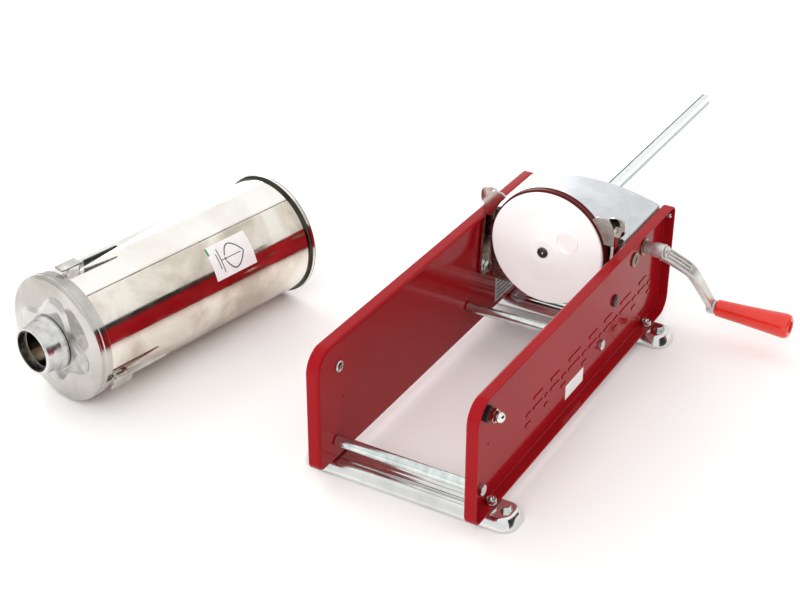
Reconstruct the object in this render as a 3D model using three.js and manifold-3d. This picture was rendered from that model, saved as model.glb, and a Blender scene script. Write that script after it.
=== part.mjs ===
// Horizontal sausage stuffer with its filling cylinder lifted off and lying beside it.
//
// Frame: millimetres. +X is the crank side, +Y runs from the open front to the gearbox,
// +Z is up. The origin is on the table, midway between the side plates, at the return lip
// of the front foot channel.

import * as THREE from "three";
import { mergeVertices } from "three/addons/utils/BufferGeometryUtils.js";
import Module from "manifold-3d";

const wasm = await Module();
wasm.setup();

// ---------------------------------------------------------------- driving dimensions

const GAP = 0.3; // air left between pieces that touch
const SLIDE = 0.3; // radial air around a shaft or screw in its hole
const FINE = 40; // facets round the cylinder and the piston
const ROUND = 20; // facets round shafts, rods and knobs
const SMALL = 12; // facets round screws and their holes
const FRONT_FOOT_Y = 43; // centre line of the front foot channel from the plates' front edge
const LIP = 7.5; // width of a foot channel's return lip
const FOOT_HALF_WIDTH = 21;
const ORIGIN_Y = FRONT_FOOT_Y - FOOT_HALF_WIDTH + LIP / 2;

const PLATE = {
  inner: 81, // from the middle of the machine to a plate's inner face
  sheet: 2,
  flange: 14,
  length: 485,
  bottom: 14.4,
  top: 152.4,
  corners: { frontTop: 24, rearTop: 10, rearBottom: 20, frontBottom: 10 },
};
const WEB_OUTER = PLATE.inner + PLATE.sheet;

const FOOT = { halfLength: 122, height: PLATE.bottom - GAP, sheet: 1.5, topHalfWidth: 15, corner: 17 };
const REAR_FOOT_Y = 435.5;
const FOOT_BOLT = { x: 89.5, r: 3, headFlats: 9, head: 3.6, nutFlats: 10, nut: 5, top: 24 };

const BORE = 69.5; // inside radius of the filling cylinder, 139 mm across
const AXIS_Z = 134.8; // height of the cylinder and piston axis in the machine

const TIE_FRONT = { y: 31, z: 38, r: 6 };
const TIE_REAR = { y: 312, z: 53, r: 5.5 };
const TIE_BOLT = { r: 3.1, reach: 12, flats: 11, head: 4.2 };

const PIVOT = { y: 37.6, z: 123.3, r: 3.5, head: 6.2, headDepth: 3.6 };

const LEVER = { y: 346.7, z: 91, sheet: 3, inner: 76, eye: 11, r: 4 };
const CLAW_RADIUS = BORE + 2.6; // reaches behind the rim, and clears the piston

const GEAR = { module: 1.5, pressure: THREE.MathUtils.degToRad(20), backlash: 0.5 };
const PINION_TEETH = 12;
const WHEEL_TEETH = 24;
const PINION_R = (GEAR.module * PINION_TEETH) / 2;
const WHEEL_R = (GEAR.module * WHEEL_TEETH) / 2;
const PITCH = Math.PI * GEAR.module;

const RACK = {
  halfWidth: 5, top: 139, pitchZ: 127.5, front: 358.3, rear: 836, firstTooth: 372, lastTooth: 716,
};
const CRANK = { y: 423.7, z: 122.8, r: 6 };
const IDLER = { z: RACK.pitchZ - PINION_R, r: 5 };
IDLER.y = CRANK.y - Math.sqrt((PINION_R + WHEEL_R) ** 2 - (CRANK.z - IDLER.z) ** 2);

const HOUSING = { front: 372, rear: 464.5, sheet: 2.5, halfWidth: PLATE.inner - 0.6, low: 62, high: 150 };
const COVER = { front: 370, rear: 470, edge: 154.4, crown: 167.6, skirt: 139, sheet: 1.6 };
const BEARING = { x: 46, sheet: 4, low: 100, high: 141 };

const ARM = { lean: THREE.MathUtils.degToRad(32), start: 96.3, reach: 99, width: 17, splay: 52, boss: 62 };
const GRIP = { start: ARM.start + ARM.boss + GAP, end: 247, inner: 9.4, outer: 14.5, pin: 4 };

const PISTON = { r: 66.9, dome: 333, edge: 341.5, back: 345, seal: 69.2, sealDepth: 9.7, screw: 3 };
const VALVE = { x: 27, z: 17.3, r: 12, stem: 2.6 };

const CYL = { wall: 1.2, length: 330, rim: 74.2, cap: 73.1, skirt: 19, boss: 4, neck: 27.5, neckBore: 22.8 };
const CYL_PLACE = { x: -351, y: 316.4, yaw: THREE.MathUtils.degToRad(10.76) };
const CYL_ROLL = THREE.MathUtils.degToRad(-122);
const HOOK = { top: 79.2, sheet: 2, drop: THREE.MathUtils.degToRad(34) };

const LOOKS = {
  red: { color: 0xa50f18, roughness: 0.22, metalness: 0.0 },
  polished: { color: 0xcfccc6, roughness: 0.12, metalness: 1.0 },
  zinc: { color: 0xb9c2be, roughness: 0.3, metalness: 1.0 },
  steel: { color: 0x8d8d8a, roughness: 0.4, metalness: 1.0 },
  dark: { color: 0x2c2a29, roughness: 0.5, metalness: 0.6 },
  chrome: { color: 0xd8d8d6, roughness: 0.1, metalness: 1.0 },
  cover: { color: 0xd9dcde, roughness: 0.45, metalness: 0.2 },
  white: { color: 0xf2efec, roughness: 0.4, metalness: 0.0 },
  seal: { color: 0x5a1512, roughness: 0.5, metalness: 0.0 },
  bronze: { color: 0xa88a55, roughness: 0.4, metalness: 1.0 },
  grip: { color: 0xe0321a, roughness: 0.25, metalness: 0.0 },
  black: { color: 0x17171a, roughness: 0.5, metalness: 0.0 },
};

const group = new THREE.Group();

// ---------------------------------------------------------------- solids from geometries

// A closed solid from any closed three.js geometry, whichever way its faces wind.
function solid(geometry) {
  const bare = geometry.index ? geometry.toNonIndexed() : geometry.clone();
  bare.deleteAttribute("normal");
  bare.deleteAttribute("uv");
  const merged = mergeVertices(bare, 1e-4);
  const points = merged.attributes.position.array;
  const corners = merged.index.array;
  const kept = [];
  let volume = 0;
  for (let i = 0; i < corners.length; i += 3) {
    const [a, b, c] = [corners[i], corners[i + 1], corners[i + 2]];
    if (a === b || b === c || c === a) {
      continue;
    }
    kept.push(a, b, c);
    const p = new THREE.Vector3().fromArray(points, 3 * a);
    const q = new THREE.Vector3().fromArray(points, 3 * b);
    const r = new THREE.Vector3().fromArray(points, 3 * c);
    volume += p.dot(q.cross(r));
  }
  if (volume < 0) {
    kept.reverse();
  }
  const mesh = new wasm.Mesh({
    numProp: 3,
    vertProperties: new Float32Array(points),
    triVerts: new Uint32Array(kept),
  });
  mesh.merge();
  return new wasm.Manifold(mesh);
}

function join(first, ...others) {
  return others.reduce((sum, other) => sum.add(other), first);
}

function cut(first, ...others) {
  return others.reduce((rest, other) => rest.subtract(other), first);
}

// Adds one finished piece to a group as a named mesh.
function piece(name, shape, look, parent = group) {
  const mesh = shape.getMesh();
  const geometry = new THREE.BufferGeometry();
  geometry.setAttribute("position", new THREE.BufferAttribute(mesh.vertProperties, 3));
  geometry.setIndex(new THREE.BufferAttribute(mesh.triVerts, 1));
  geometry.computeVertexNormals();
  const result = new THREE.Mesh(geometry, new THREE.MeshStandardMaterial(look));
  result.name = name;
  parent.add(result);
  return result;
}

function box(x0, x1, y0, y1, z0, z1) {
  const geometry = new THREE.BoxGeometry(Math.abs(x1 - x0), y1 - y0, z1 - z0);
  geometry.translate((x0 + x1) / 2, (y0 + y1) / 2, (z0 + z1) / 2);
  return solid(geometry);
}

// A turned solid. The profile lists [along, radius] from one end to the other, and the
// axis points from `at` along `axis`: "x", "-x", "y" or "z".
const TURNS = {
  x: (g) => g.rotateZ(-Math.PI / 2),
  "-x": (g) => g.rotateZ(Math.PI / 2),
  y: (g) => g,
  z: (g) => g.rotateX(Math.PI / 2),
};
function turned(axis, at, profile, segments = ROUND) {
  const ends = [[profile[0][0], 0], ...profile, [profile[profile.length - 1][0], 0]];
  const points = ends.map(([along, radius]) => new THREE.Vector2(radius, along));
  const geometry = new THREE.LatheGeometry(points, segments);
  TURNS[axis](geometry);
  geometry.translate(...at);
  return solid(geometry);
}

function rod(axis, at, radius, from, to, segments = ROUND) {
  return turned(axis, at, [[from, radius], [to, radius]], segments);
}

// A hexagonal prism, measured across its flats.
function hex(axis, at, flats, from, to) {
  return rod(axis, at, flats / Math.sqrt(3), from, to, 6);
}

// A flat outline of (Y, Z) points pushed along X between two planes.
function plateYZ(shape, x0, x1, curveSegments = 4) {
  const depth = Math.abs(x1 - x0);
  const geometry = new THREE.ExtrudeGeometry(shape, { depth, bevelEnabled: false, curveSegments });
  const toYZ = new THREE.Matrix4().makeBasis(
    new THREE.Vector3(0, 1, 0),
    new THREE.Vector3(0, 0, 1),
    new THREE.Vector3(1, 0, 0),
  );
  geometry.applyMatrix4(toYZ);
  geometry.translate(Math.min(x0, x1), 0, 0);
  return solid(geometry);
}

// A flat outline of (X, Z) points pushed along Y between two planes.
function plateXZ(shape, y0, y1, curveSegments = 4) {
  const depth = y1 - y0;
  const geometry = new THREE.ExtrudeGeometry(shape, { depth, bevelEnabled: false, curveSegments });
  geometry.rotateX(Math.PI / 2);
  geometry.translate(0, y1, 0);
  return solid(geometry);
}

// A flat outline of (X, Y) points pushed along Z between two planes.
function upright(shape, z0, z1) {
  const depth = z1 - z0;
  const geometry = new THREE.ExtrudeGeometry(shape, { depth, bevelEnabled: false, curveSegments: 3 });
  return solid(geometry.translate(0, 0, z0));
}

// A rectangle with its own radius at each corner, drawn anticlockwise from low left.
function roundedRectangle(u0, u1, v0, v1, radii, inset = 0) {
  const [lowLeft, lowRight, highRight, highLeft] = radii.map((r) => Math.max(r - inset, 0.5));
  const [left, right, low, high] = [u0 + inset, u1 - inset, v0 + inset, v1 - inset];
  const shape = new THREE.Shape();
  shape.absarc(left + lowLeft, low + lowLeft, lowLeft, Math.PI, Math.PI * 1.5);
  shape.absarc(right - lowRight, low + lowRight, lowRight, Math.PI * 1.5, Math.PI * 2);
  shape.absarc(right - highRight, high - highRight, highRight, 0, Math.PI / 2);
  shape.absarc(left + highLeft, high - highLeft, highLeft, Math.PI / 2, Math.PI);
  return shape;
}

function polygon(points) {
  return new THREE.Shape(points.map(([u, v]) => new THREE.Vector2(u, v)));
}

const SIDES = [["right", 1, "x"], ["left", -1, "-x"]];

// ---------------------------------------------------------------- side plates

function plateOutline(inset) {
  const { frontBottom, rearBottom, rearTop, frontTop } = PLATE.corners;
  const radii = [frontBottom, rearBottom, rearTop, frontTop];
  return roundedRectangle(0, PLATE.length, PLATE.bottom, PLATE.top, radii, inset);
}

// A pressed tray: a flat web with a flange folded outward all round it.
function sidePlate(side, axis) {
  const outerEdge = PLATE.inner + PLATE.flange;
  const tray = plateYZ(plateOutline(0), side * PLATE.inner, side * outerEdge);
  const hollow = plateYZ(plateOutline(PLATE.sheet), side * WEB_OUTER, side * (outerEdge + 1));
  const holes = [
    [TIE_FRONT.y, TIE_FRONT.z, TIE_BOLT.r + SLIDE],
    [TIE_REAR.y, TIE_REAR.z, TIE_BOLT.r + SLIDE],
    [PIVOT.y, PIVOT.z, PIVOT.r + SLIDE],
    [LEVER.y, LEVER.z, LEVER.r + SLIDE],
    [IDLER.y, IDLER.z, IDLER.r + 2 + 2 * SLIDE],
    [PIVOT.y + 7.6, PIVOT.z - 40.5, 1.6],
  ];
  if (side > 0) {
    holes.push([CRANK.y, CRANK.z, CRANK.r + 3 + SLIDE]);
  }
  const drills = holes.map(([y, z, r]) => rod(axis, [0, y, z], r, PLATE.inner - 1, WEB_OUTER + 1, SMALL));
  for (const y of [FRONT_FOOT_Y, REAR_FOOT_Y]) {
    const at = [side * FOOT_BOLT.x, y, 0];
    drills.push(rod("z", at, FOOT_BOLT.r + SLIDE, PLATE.bottom - 1, PLATE.bottom + PLATE.sheet + 1, SMALL));
  }
  return cut(tray, hollow, ...drills);
}

for (const [word, side, axis] of SIDES) {
  piece(`side_plate_${word}`, sidePlate(side, axis), LOOKS.red);
}

// ---------------------------------------------------------------- foot channels and bolts

// The sloping cross-section of a channel, as (Y, Z) points about its centre line.
function channelSection(y, inset, low) {
  const base = FOOT_HALF_WIDTH - inset;
  const shoulder = FOOT.topHalfWidth - inset;
  const high = FOOT.height - inset;
  return polygon([
    [y - base, low], [y + base, low], [y + base, low + 3],
    [y + shoulder, high], [y - shoulder, high], [y - base, low + 3],
  ]);
}

function planOutline(y, inset) {
  const radii = [0, 1, 2, 3].map(() => FOOT.corner);
  const half = FOOT.halfLength;
  const halfWidth = FOOT_HALF_WIDTH;
  return roundedRectangle(-half, half, y - halfWidth, y + halfWidth, radii, inset);
}

// The plan outline drawn in towards the top, so that the ends are domed like the sides.
function domedPlan(y, inset, low, high) {
  const step = 6 - inset;
  const steps = [[0, low, step], [4, step, high]];
  const layers = steps.map(([draw, z0, z1]) => {
    const shape = planOutline(y, inset + draw);
    return upright(shape, z0, z1);
  });
  return join(...layers);
}

function footChannel(y) {
  const half = FOOT.halfLength;
  const outside = plateYZ(channelSection(y, 0, 0), -half, half).intersect(domedPlan(y, 0, 0, FOOT.height));
  const hollowSection = plateYZ(channelSection(y, FOOT.sheet, FOOT.sheet), -half, half);
  const hollow = hollowSection.intersect(domedPlan(y, FOOT.sheet, FOOT.sheet, FOOT.height));
  const mouth = upright(planOutline(y, LIP), -1, 3);
  const ridges = [y - 8, y + 8].map((at) => {
    return box(-77, 77, at - 2, at + 2, FOOT.height - 1, FOOT.height + 1.4);
  });
  const drills = SIDES.map(([, side]) => {
    return rod("z", [side * FOOT_BOLT.x, y, 0], FOOT_BOLT.r + SLIDE, 8, FOOT.height + 1, SMALL);
  });
  return cut(join(cut(outside, hollow, mouth), ...ridges), ...drills);
}

function footBolt(side, y) {
  const at = [side * FOOT_BOLT.x, y, 0];
  const headTop = FOOT.height - FOOT.sheet - GAP;
  const head = hex("z", at, FOOT_BOLT.headFlats, headTop - FOOT_BOLT.head, headTop);
  return join(head, rod("z", at, FOOT_BOLT.r, headTop - 1, FOOT_BOLT.top, SMALL));
}

function footNut(side, y) {
  const at = [side * FOOT_BOLT.x, y, 0];
  const seat = PLATE.bottom + PLATE.sheet + GAP;
  const body = hex("z", at, FOOT_BOLT.nutFlats, seat, seat + FOOT_BOLT.nut);
  return cut(body, rod("z", at, FOOT_BOLT.r + SLIDE, seat - 1, seat + FOOT_BOLT.nut + 1, SMALL));
}

for (const [end, y] of [["front", FRONT_FOOT_Y], ["rear", REAR_FOOT_Y]]) {
  piece(`foot_channel_${end}`, footChannel(y), LOOKS.polished);
  for (const [word, side] of SIDES) {
    piece(`foot_bolt_${end}_${word}`, footBolt(side, y), LOOKS.steel);
    piece(`foot_nut_${end}_${word}`, footNut(side, y), LOOKS.zinc);
  }
}

// ---------------------------------------------------------------- tie rods

function tieRod({ y, z, r }) {
  const half = PLATE.inner - GAP;
  const bar = rod("x", [0, y, z], r, -half, half, SMALL);
  const taps = SIDES.map(([, , axis]) => {
    return rod(axis, [0, y, z], TIE_BOLT.r + SLIDE, half - TIE_BOLT.reach - 1, half + 1, SMALL);
  });
  return cut(bar, ...taps);
}

function tieBolt({ y, z }, axis) {
  const seat = WEB_OUTER + GAP;
  const shank = rod(axis, [0, y, z], TIE_BOLT.r, PLATE.inner - TIE_BOLT.reach, seat + 1, SMALL);
  return join(shank, hex(axis, [0, y, z], TIE_BOLT.flats, seat, seat + TIE_BOLT.head));
}

for (const [end, tie] of [["front", TIE_FRONT], ["rear", TIE_REAR]]) {
  piece(`tie_rod_${end}`, tieRod(tie), LOOKS.zinc);
  for (const [word, , axis] of SIDES) {
    piece(`tie_bolt_${end}_${word}`, tieBolt(tie, axis), LOOKS.zinc);
  }
}

// ---------------------------------------------------------------- cylinder pivot screws

// A cross slot, two crossing bars sunk into a screw head that faces along the axis.
function crossSlot(x, y, z, depth) {
  const [x0, x1] = [Math.min(x, x + depth), Math.max(x, x + depth)];
  return join(box(x0, x1, y - 3, y + 3, z - 0.8, z + 0.8), box(x0, x1, y - 0.8, y + 0.8, z - 3, z + 3));
}

function pivotScrew(side, axis) {
  const at = [0, PIVOT.y, PIVOT.z];
  const seat = PLATE.inner - GAP;
  const profile = [
    [seat - PIVOT.headDepth, 3.6], [seat - PIVOT.headDepth + 1.2, PIVOT.head - 0.8],
    [seat - 1.2, PIVOT.head], [seat, PIVOT.head], [seat, PIVOT.r], [WEB_OUTER + 18.5, PIVOT.r],
  ];
  const faceX = side * (seat - PIVOT.headDepth - 0.5);
  return cut(turned(axis, at, profile, SMALL), crossSlot(faceX, PIVOT.y, PIVOT.z, side * 2));
}

function ringOn(axis, outer, from, to, segments) {
  const at = [0, PIVOT.y, PIVOT.z];
  const hole = rod(axis, at, PIVOT.r + SLIDE, from - 1, to + 1, SMALL);
  return cut(rod(axis, at, outer, from, to, segments), hole);
}

function domeNut(axis) {
  const at = [0, PIVOT.y, PIVOT.z];
  const seat = WEB_OUTER + 6 + 5 + 3 * GAP;
  const profile = [[seat, 6], [seat + 4.5, 6], [seat + 7.5, 4.9], [seat + 9.6, 2.8], [seat + 10.4, 1]];
  return cut(turned(axis, at, profile, SMALL), rod(axis, at, PIVOT.r + SLIDE, seat - 1, seat + 7.4, SMALL));
}

for (const [word, side, axis] of SIDES) {
  const spacerSeat = WEB_OUTER + GAP;
  const nutSeat = spacerSeat + 6 + GAP;
  piece(`pivot_screw_${word}`, pivotScrew(side, axis), LOOKS.zinc);
  piece(`pivot_spacer_${word}`, ringOn(axis, 8.5, spacerSeat, spacerSeat + 6, SMALL), LOOKS.black);
  piece(`pivot_nut_${word}`, ringOn(axis, 13 / Math.sqrt(3), nutSeat, nutSeat + 4.7, 6), LOOKS.zinc);
  piece(`pivot_dome_nut_${word}`, domeNut(axis), LOOKS.chrome);
}

// ---------------------------------------------------------------- locking levers

// The blade: an eye on the pivot screw, and an arm that leans back as it rises.
function leverBlade(side) {
  const shape = new THREE.Shape();
  shape.absarc(LEVER.y, LEVER.z, LEVER.eye, Math.PI * 0.97, Math.PI * 2);
  shape.lineTo(LEVER.y + 9, LEVER.z + 30);
  shape.lineTo(LEVER.y + 8.5, 176);
  shape.lineTo(LEVER.y + 4, 180);
  shape.lineTo(LEVER.y - 4.7, 171);
  shape.lineTo(LEVER.y - 4.7, 150);
  shape.lineTo(LEVER.y - 9, LEVER.z + 30);
  return plateYZ(shape, side * LEVER.inner, side * (LEVER.inner + LEVER.sheet));
}

// The claw: a flange across the cylinder's rim, with a round inner edge about its axis.
function leverClaw(side) {
  const start = Math.asin(23.8 / CLAW_RADIUS);
  const end = Math.asin(50 / CLAW_RADIUS);
  const shape = new THREE.Shape();
  shape.absarc(0, AXIS_Z, CLAW_RADIUS, start, end);
  shape.lineTo(57, 188.5);
  shape.lineTo(70.3, 189.7);
  shape.lineTo(76.5, 176);
  shape.lineTo(LEVER.inner + LEVER.sheet, 170);
  shape.lineTo(LEVER.inner + LEVER.sheet, 158.6);
  const claw = plateXZ(shape, LEVER.y - 4.7, LEVER.y - 1.7, 8);
  return side > 0 ? claw : mirrored(claw);
}

// The finger pad: a rounded tab bent outward over the plate's top flange.
function leverPad(side) {
  const shape = roundedRectangle(66, 87, 166, 188, [7, 7, 7, 7]);
  const pad = plateXZ(shape, LEVER.y + 4, LEVER.y + 7, 4);
  return side > 0 ? pad : mirrored(pad);
}

function mirrored(shape) {
  const mesh = shape.getMesh();
  const geometry = new THREE.BufferGeometry();
  geometry.setAttribute("position", new THREE.BufferAttribute(mesh.vertProperties, 3));
  geometry.setIndex(new THREE.BufferAttribute(mesh.triVerts, 1));
  return solid(geometry.scale(-1, 1, 1));
}

function lever(side, axis) {
  const bore = rod(axis, [0, LEVER.y, LEVER.z], LEVER.r + SLIDE, LEVER.inner - 1, PLATE.inner, SMALL);
  return cut(join(leverBlade(side), leverClaw(side), leverPad(side)), bore);
}

function leverPivot(axis) {
  const profile = [
    [LEVER.inner - 5, LEVER.r], [WEB_OUTER + GAP, LEVER.r], [WEB_OUTER + GAP, 7],
    [WEB_OUTER + 2.2, 7], [WEB_OUTER + 3.6, 4.5],
  ];
  return turned(axis, [0, LEVER.y, LEVER.z], profile, SMALL);
}

function leverNut(axis) {
  const at = [0, LEVER.y, LEVER.z];
  const face = LEVER.inner - GAP;
  return cut(hex(axis, at, 12, face - 4, face), rod(axis, at, LEVER.r + SLIDE, face - 5, face + 1, SMALL));
}

for (const [word, side, axis] of SIDES) {
  piece(`lever_${word}`, lever(side, axis), LOOKS.steel);
  piece(`lever_pivot_${word}`, leverPivot(axis), LOOKS.dark);
  piece(`lever_nut_${word}`, leverNut(axis), LOOKS.zinc);
}

// ---------------------------------------------------------------- gearbox shell

// The arched cover: a thin arc between the plates with a short skirt down each side.
function coverSection(inset) {
  const half = PLATE.inner - GAP - inset;
  const rise = COVER.crown - COVER.edge;
  const radius = (PLATE.inner ** 2 + rise ** 2) / (2 * rise) - inset;
  const centreZ = COVER.crown - inset - radius;
  const sweep = Math.asin(half / radius);
  const shape = new THREE.Shape();
  shape.moveTo(-half, inset > 0 ? 0 : COVER.skirt);
  shape.lineTo(half, inset > 0 ? 0 : COVER.skirt);
  shape.absarc(0, centreZ, radius, Math.PI / 2 - sweep, Math.PI / 2 + sweep);
  return shape;
}

function gearboxCover() {
  const outside = plateXZ(coverSection(0), COVER.front, COVER.rear, 14);
  const inside = plateXZ(coverSection(COVER.sheet), COVER.front - 1, COVER.rear + 1, 14);
  return cut(outside, inside);
}

// A wall across the gearbox with its two ends folded along the side plates.
function housingWall(y, fold) {
  const half = HOUSING.halfWidth;
  const { low, high, sheet } = HOUSING;
  const wall = box(-half, half, y - sheet / 2, y + sheet / 2, low, high);
  const folded = SIDES.map(([, side]) => {
    const x = side * (half - sheet / 2);
    const [y0, y1] = fold > 0 ? [y, y + fold] : [y + fold, y];
    return box(x - sheet / 2 + 0.2, x + sheet / 2, y0, y1, low, COVER.skirt - GAP);
  });
  const window = box(-10, 10, y - 5, y + 5, RACK.pitchZ - 6, RACK.top + 4);
  const skirtRoom = SIDES.map(([, side]) => {
    return box(side * (half - 2), side * (half + 1), y - 15, y + 15, COVER.skirt - GAP, high + 1);
  });
  return cut(join(wall, ...folded), window, ...skirtRoom);
}

// Carries the inner end of the crank shaft and steadies the intermediate shaft.
function bearingPlate() {
  const { x, sheet, low, high } = BEARING;
  const [y0, y1] = [HOUSING.front + HOUSING.sheet + GAP, HOUSING.rear - HOUSING.sheet - GAP];
  const bores = [[CRANK, CRANK.r], [IDLER, IDLER.r]].map(([shaft, r]) => {
    return rod("x", [0, shaft.y, shaft.z], r + SLIDE, x - 1, x + sheet + 1, SMALL);
  });
  return cut(box(x, x + sheet, y0, y1, low, high), ...bores);
}

function rackGuide() {
  const y0 = HOUSING.front + HOUSING.sheet + GAP;
  const block = box(-17, 17, y0, y0 + 48, RACK.top - 6, RACK.top + 9);
  const half = RACK.halfWidth + GAP;
  const channel = box(-half, half, y0 - 1, y0 + 49, RACK.top - 7, RACK.top + GAP);
  return cut(block, channel);
}

piece("gearbox_cover", gearboxCover(), LOOKS.cover);
piece("gearbox_wall_front", housingWall(HOUSING.front + HOUSING.sheet / 2, 12), LOOKS.steel);
piece("gearbox_wall_rear", housingWall(HOUSING.rear - HOUSING.sheet / 2, -12), LOOKS.steel);
piece("bearing_plate_inner", bearingPlate(), LOOKS.steel);
piece("rack_guide", rackGuide(), LOOKS.white);

// A flanged bush pressed into a side plate from outside.
function bush(axis, { y, z, r }, wall) {
  const at = [0, y, z];
  const profile = [
    [PLATE.inner - 2, r + wall], [WEB_OUTER + GAP, r + wall],
    [WEB_OUTER + GAP, r + wall + 1.2], [WEB_OUTER + 2, r + wall + 1.2],
  ];
  const bore = rod(axis, at, r + SLIDE, PLATE.inner - 3, WEB_OUTER + 3, SMALL);
  return cut(turned(axis, at, profile, SMALL), bore);
}

piece("crank_bush", bush("x", CRANK, 3), LOOKS.bronze);
for (const [word, , axis] of SIDES) {
  piece(`idler_bush_${word}`, bush(axis, IDLER, 2.3), LOOKS.bronze);
}

// ---------------------------------------------------------------- gears, shafts and rack

const ADDENDUM = 0.7 * GEAR.module;
const DEDENDUM = GEAR.module;

// Half the angle that a tooth takes up at radius r, from the involute of its base circle.
function halfToothAngle(teeth, r) {
  const pitchRadius = (GEAR.module * teeth) / 2;
  const base = pitchRadius * Math.cos(GEAR.pressure);
  const involute = (angle) => Math.tan(angle) - angle;
  const atPitch = (PITCH / 2 - GEAR.backlash) / 2 / pitchRadius;
  const angle = Math.acos(Math.min(1, base / Math.max(r, base)));
  return atPitch + involute(GEAR.pressure) - involute(angle);
}

// A spur gear about X, with one tooth centred on the direction `phase` from +Y towards +Z.
function gear(teeth, shaft, phase, x0, x1) {
  const pitchRadius = (GEAR.module * teeth) / 2;
  const radii = [pitchRadius - DEDENDUM, pitchRadius - 0.2, pitchRadius + ADDENDUM];
  const points = [];
  for (let tooth = 0; tooth < teeth; tooth += 1) {
    const centre = phase + (tooth * 2 * Math.PI) / teeth;
    const leading = radii.map((r) => [r, centre - halfToothAngle(teeth, r)]);
    const trailing = [...radii].reverse().map((r) => [r, centre + halfToothAngle(teeth, r)]);
    points.push(...leading, ...trailing);
  }
  const shape = polygon(points.map(([r, a]) => [shaft.y + r * Math.cos(a), shaft.z + r * Math.sin(a)]));
  const bore = rod("x", [0, shaft.y, shaft.z], shaft.r + SLIDE, x0 - 1, x1 + 1, SMALL);
  return cut(plateYZ(shape, x0, x1), bore);
}

const meshDirection = Math.atan2(CRANK.z - IDLER.z, CRANK.y - IDLER.y);

function crankShaft() {
  const profile = [
    [BEARING.x - 3, CRANK.r], [WEB_OUTER + 2.5, CRANK.r], [WEB_OUTER + 2.5, 7.5],
    [ARM.start - GAP, 7.5], [ARM.start - GAP, 5.5], [ARM.start + 15, 5.5],
  ];
  return turned("x", [0, CRANK.y, CRANK.z], profile);
}

function rack() {
  const { halfWidth, top, pitchZ, front, rear, firstTooth, lastTooth } = RACK;
  const [tip, root] = [pitchZ - ADDENDUM, pitchZ + DEDENDUM];
  const halfAtPitch = (PITCH / 2 - GEAR.backlash) / 2;
  const halfAt = (z) => halfAtPitch + (z - pitchZ) * Math.tan(GEAR.pressure);
  const gapOffset = (IDLER.y - firstTooth) % PITCH;
  const first = firstTooth + gapOffset - PITCH / 2;
  const points = [[front, top], [front, root]];
  for (let y = first; y < lastTooth; y += PITCH) {
    points.push([y - halfAt(root), root], [y - halfAt(tip), tip]);
    points.push([y + halfAt(tip), tip], [y + halfAt(root), root]);
  }
  points.push([lastTooth + 2, root], [lastTooth + 2, tip], [rear, tip], [rear, top]);
  const bar = plateYZ(polygon(points), -halfWidth, halfWidth);
  return cut(bar, rod("y", [0, 0, AXIS_Z], PISTON.screw + SLIDE, front - 1, front + 18, SMALL));
}

piece("crank_shaft", crankShaft(), LOOKS.chrome);
const crankPhase = meshDirection + Math.PI + Math.PI / PINION_TEETH;
piece("crank_pinion", gear(PINION_TEETH, CRANK, crankPhase, 54, 68), LOOKS.steel);
const idlerReach = WEB_OUTER + 1.5;
piece("idler_shaft", rod("x", [0, IDLER.y, IDLER.z], IDLER.r, -idlerReach, idlerReach), LOOKS.steel);
piece("idler_wheel", gear(WHEEL_TEETH, IDLER, meshDirection, 56, 66), LOOKS.steel);
piece("rack_pinion", gear(PINION_TEETH, IDLER, Math.PI / 2, -9, 9), LOOKS.steel);
piece("rack", rack(), LOOKS.zinc);

// ---------------------------------------------------------------- piston

const VALVE_AT = [VALVE.x, 0, AXIS_Z + VALVE.z];
const PISTON_AT = [0, 0, AXIS_Z];
const SEAL_BACK = PISTON.back + GAP + PISTON.sealDepth;
const DOME_SLOPE = (PISTON.edge - PISTON.dome - 1) / PISTON.r;
const VALVE_FACE = PISTON.dome + 1 + DOME_SLOPE * (Math.hypot(VALVE.x, VALVE.z) - VALVE.r);

// The holes for the middle screw and the valve stem.
function pistonHoles(y0, y1) {
  return [[PISTON_AT, PISTON.screw], [VALVE_AT, VALVE.stem]].map(([at, r]) => {
    return rod("y", at, r + SLIDE, y0 - 1, y1 + 1, SMALL);
  });
}

function pistonDisc() {
  const profile = [
    [PISTON.dome, 14], [PISTON.dome + 1 + DOME_SLOPE * 40, 40], [PISTON.edge - 1, PISTON.r - 1],
    [PISTON.edge, PISTON.r], [PISTON.back, PISTON.r],
  ];
  const body = turned("y", PISTON_AT, profile, FINE);
  const seat = rod("y", VALVE_AT, VALVE.r + SLIDE, PISTON.dome - 2, VALVE_FACE + 3);
  return cut(body, seat, ...pistonHoles(PISTON.dome, PISTON.back));
}

function pistonSeal() {
  const front = PISTON.back + GAP;
  const profile = [
    [front, PISTON.seal - 1.2], [front + 1.2, PISTON.seal], [front + 4, PISTON.seal - 0.5],
    [SEAL_BACK - 1.2, PISTON.seal], [SEAL_BACK, PISTON.seal - 1.2],
  ];
  return cut(turned("y", PISTON_AT, profile, FINE), ...pistonHoles(front, SEAL_BACK));
}

function pistonBackPlate() {
  const [y0, y1] = [SEAL_BACK + GAP, RACK.front - GAP];
  return cut(rod("y", PISTON_AT, 60, y0, y1, FINE), ...pistonHoles(y0, y1));
}

function pistonScrew() {
  const headBack = PISTON.dome - GAP;
  const profile = [
    [headBack - 2.6, 4], [headBack - 1.6, 6], [headBack, 6.4], [headBack, PISTON.screw],
    [RACK.front + 15, PISTON.screw],
  ];
  const socket = hex("y", PISTON_AT, 4, headBack - 4, headBack - 1);
  return cut(turned("y", PISTON_AT, profile, SMALL), socket);
}

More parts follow.
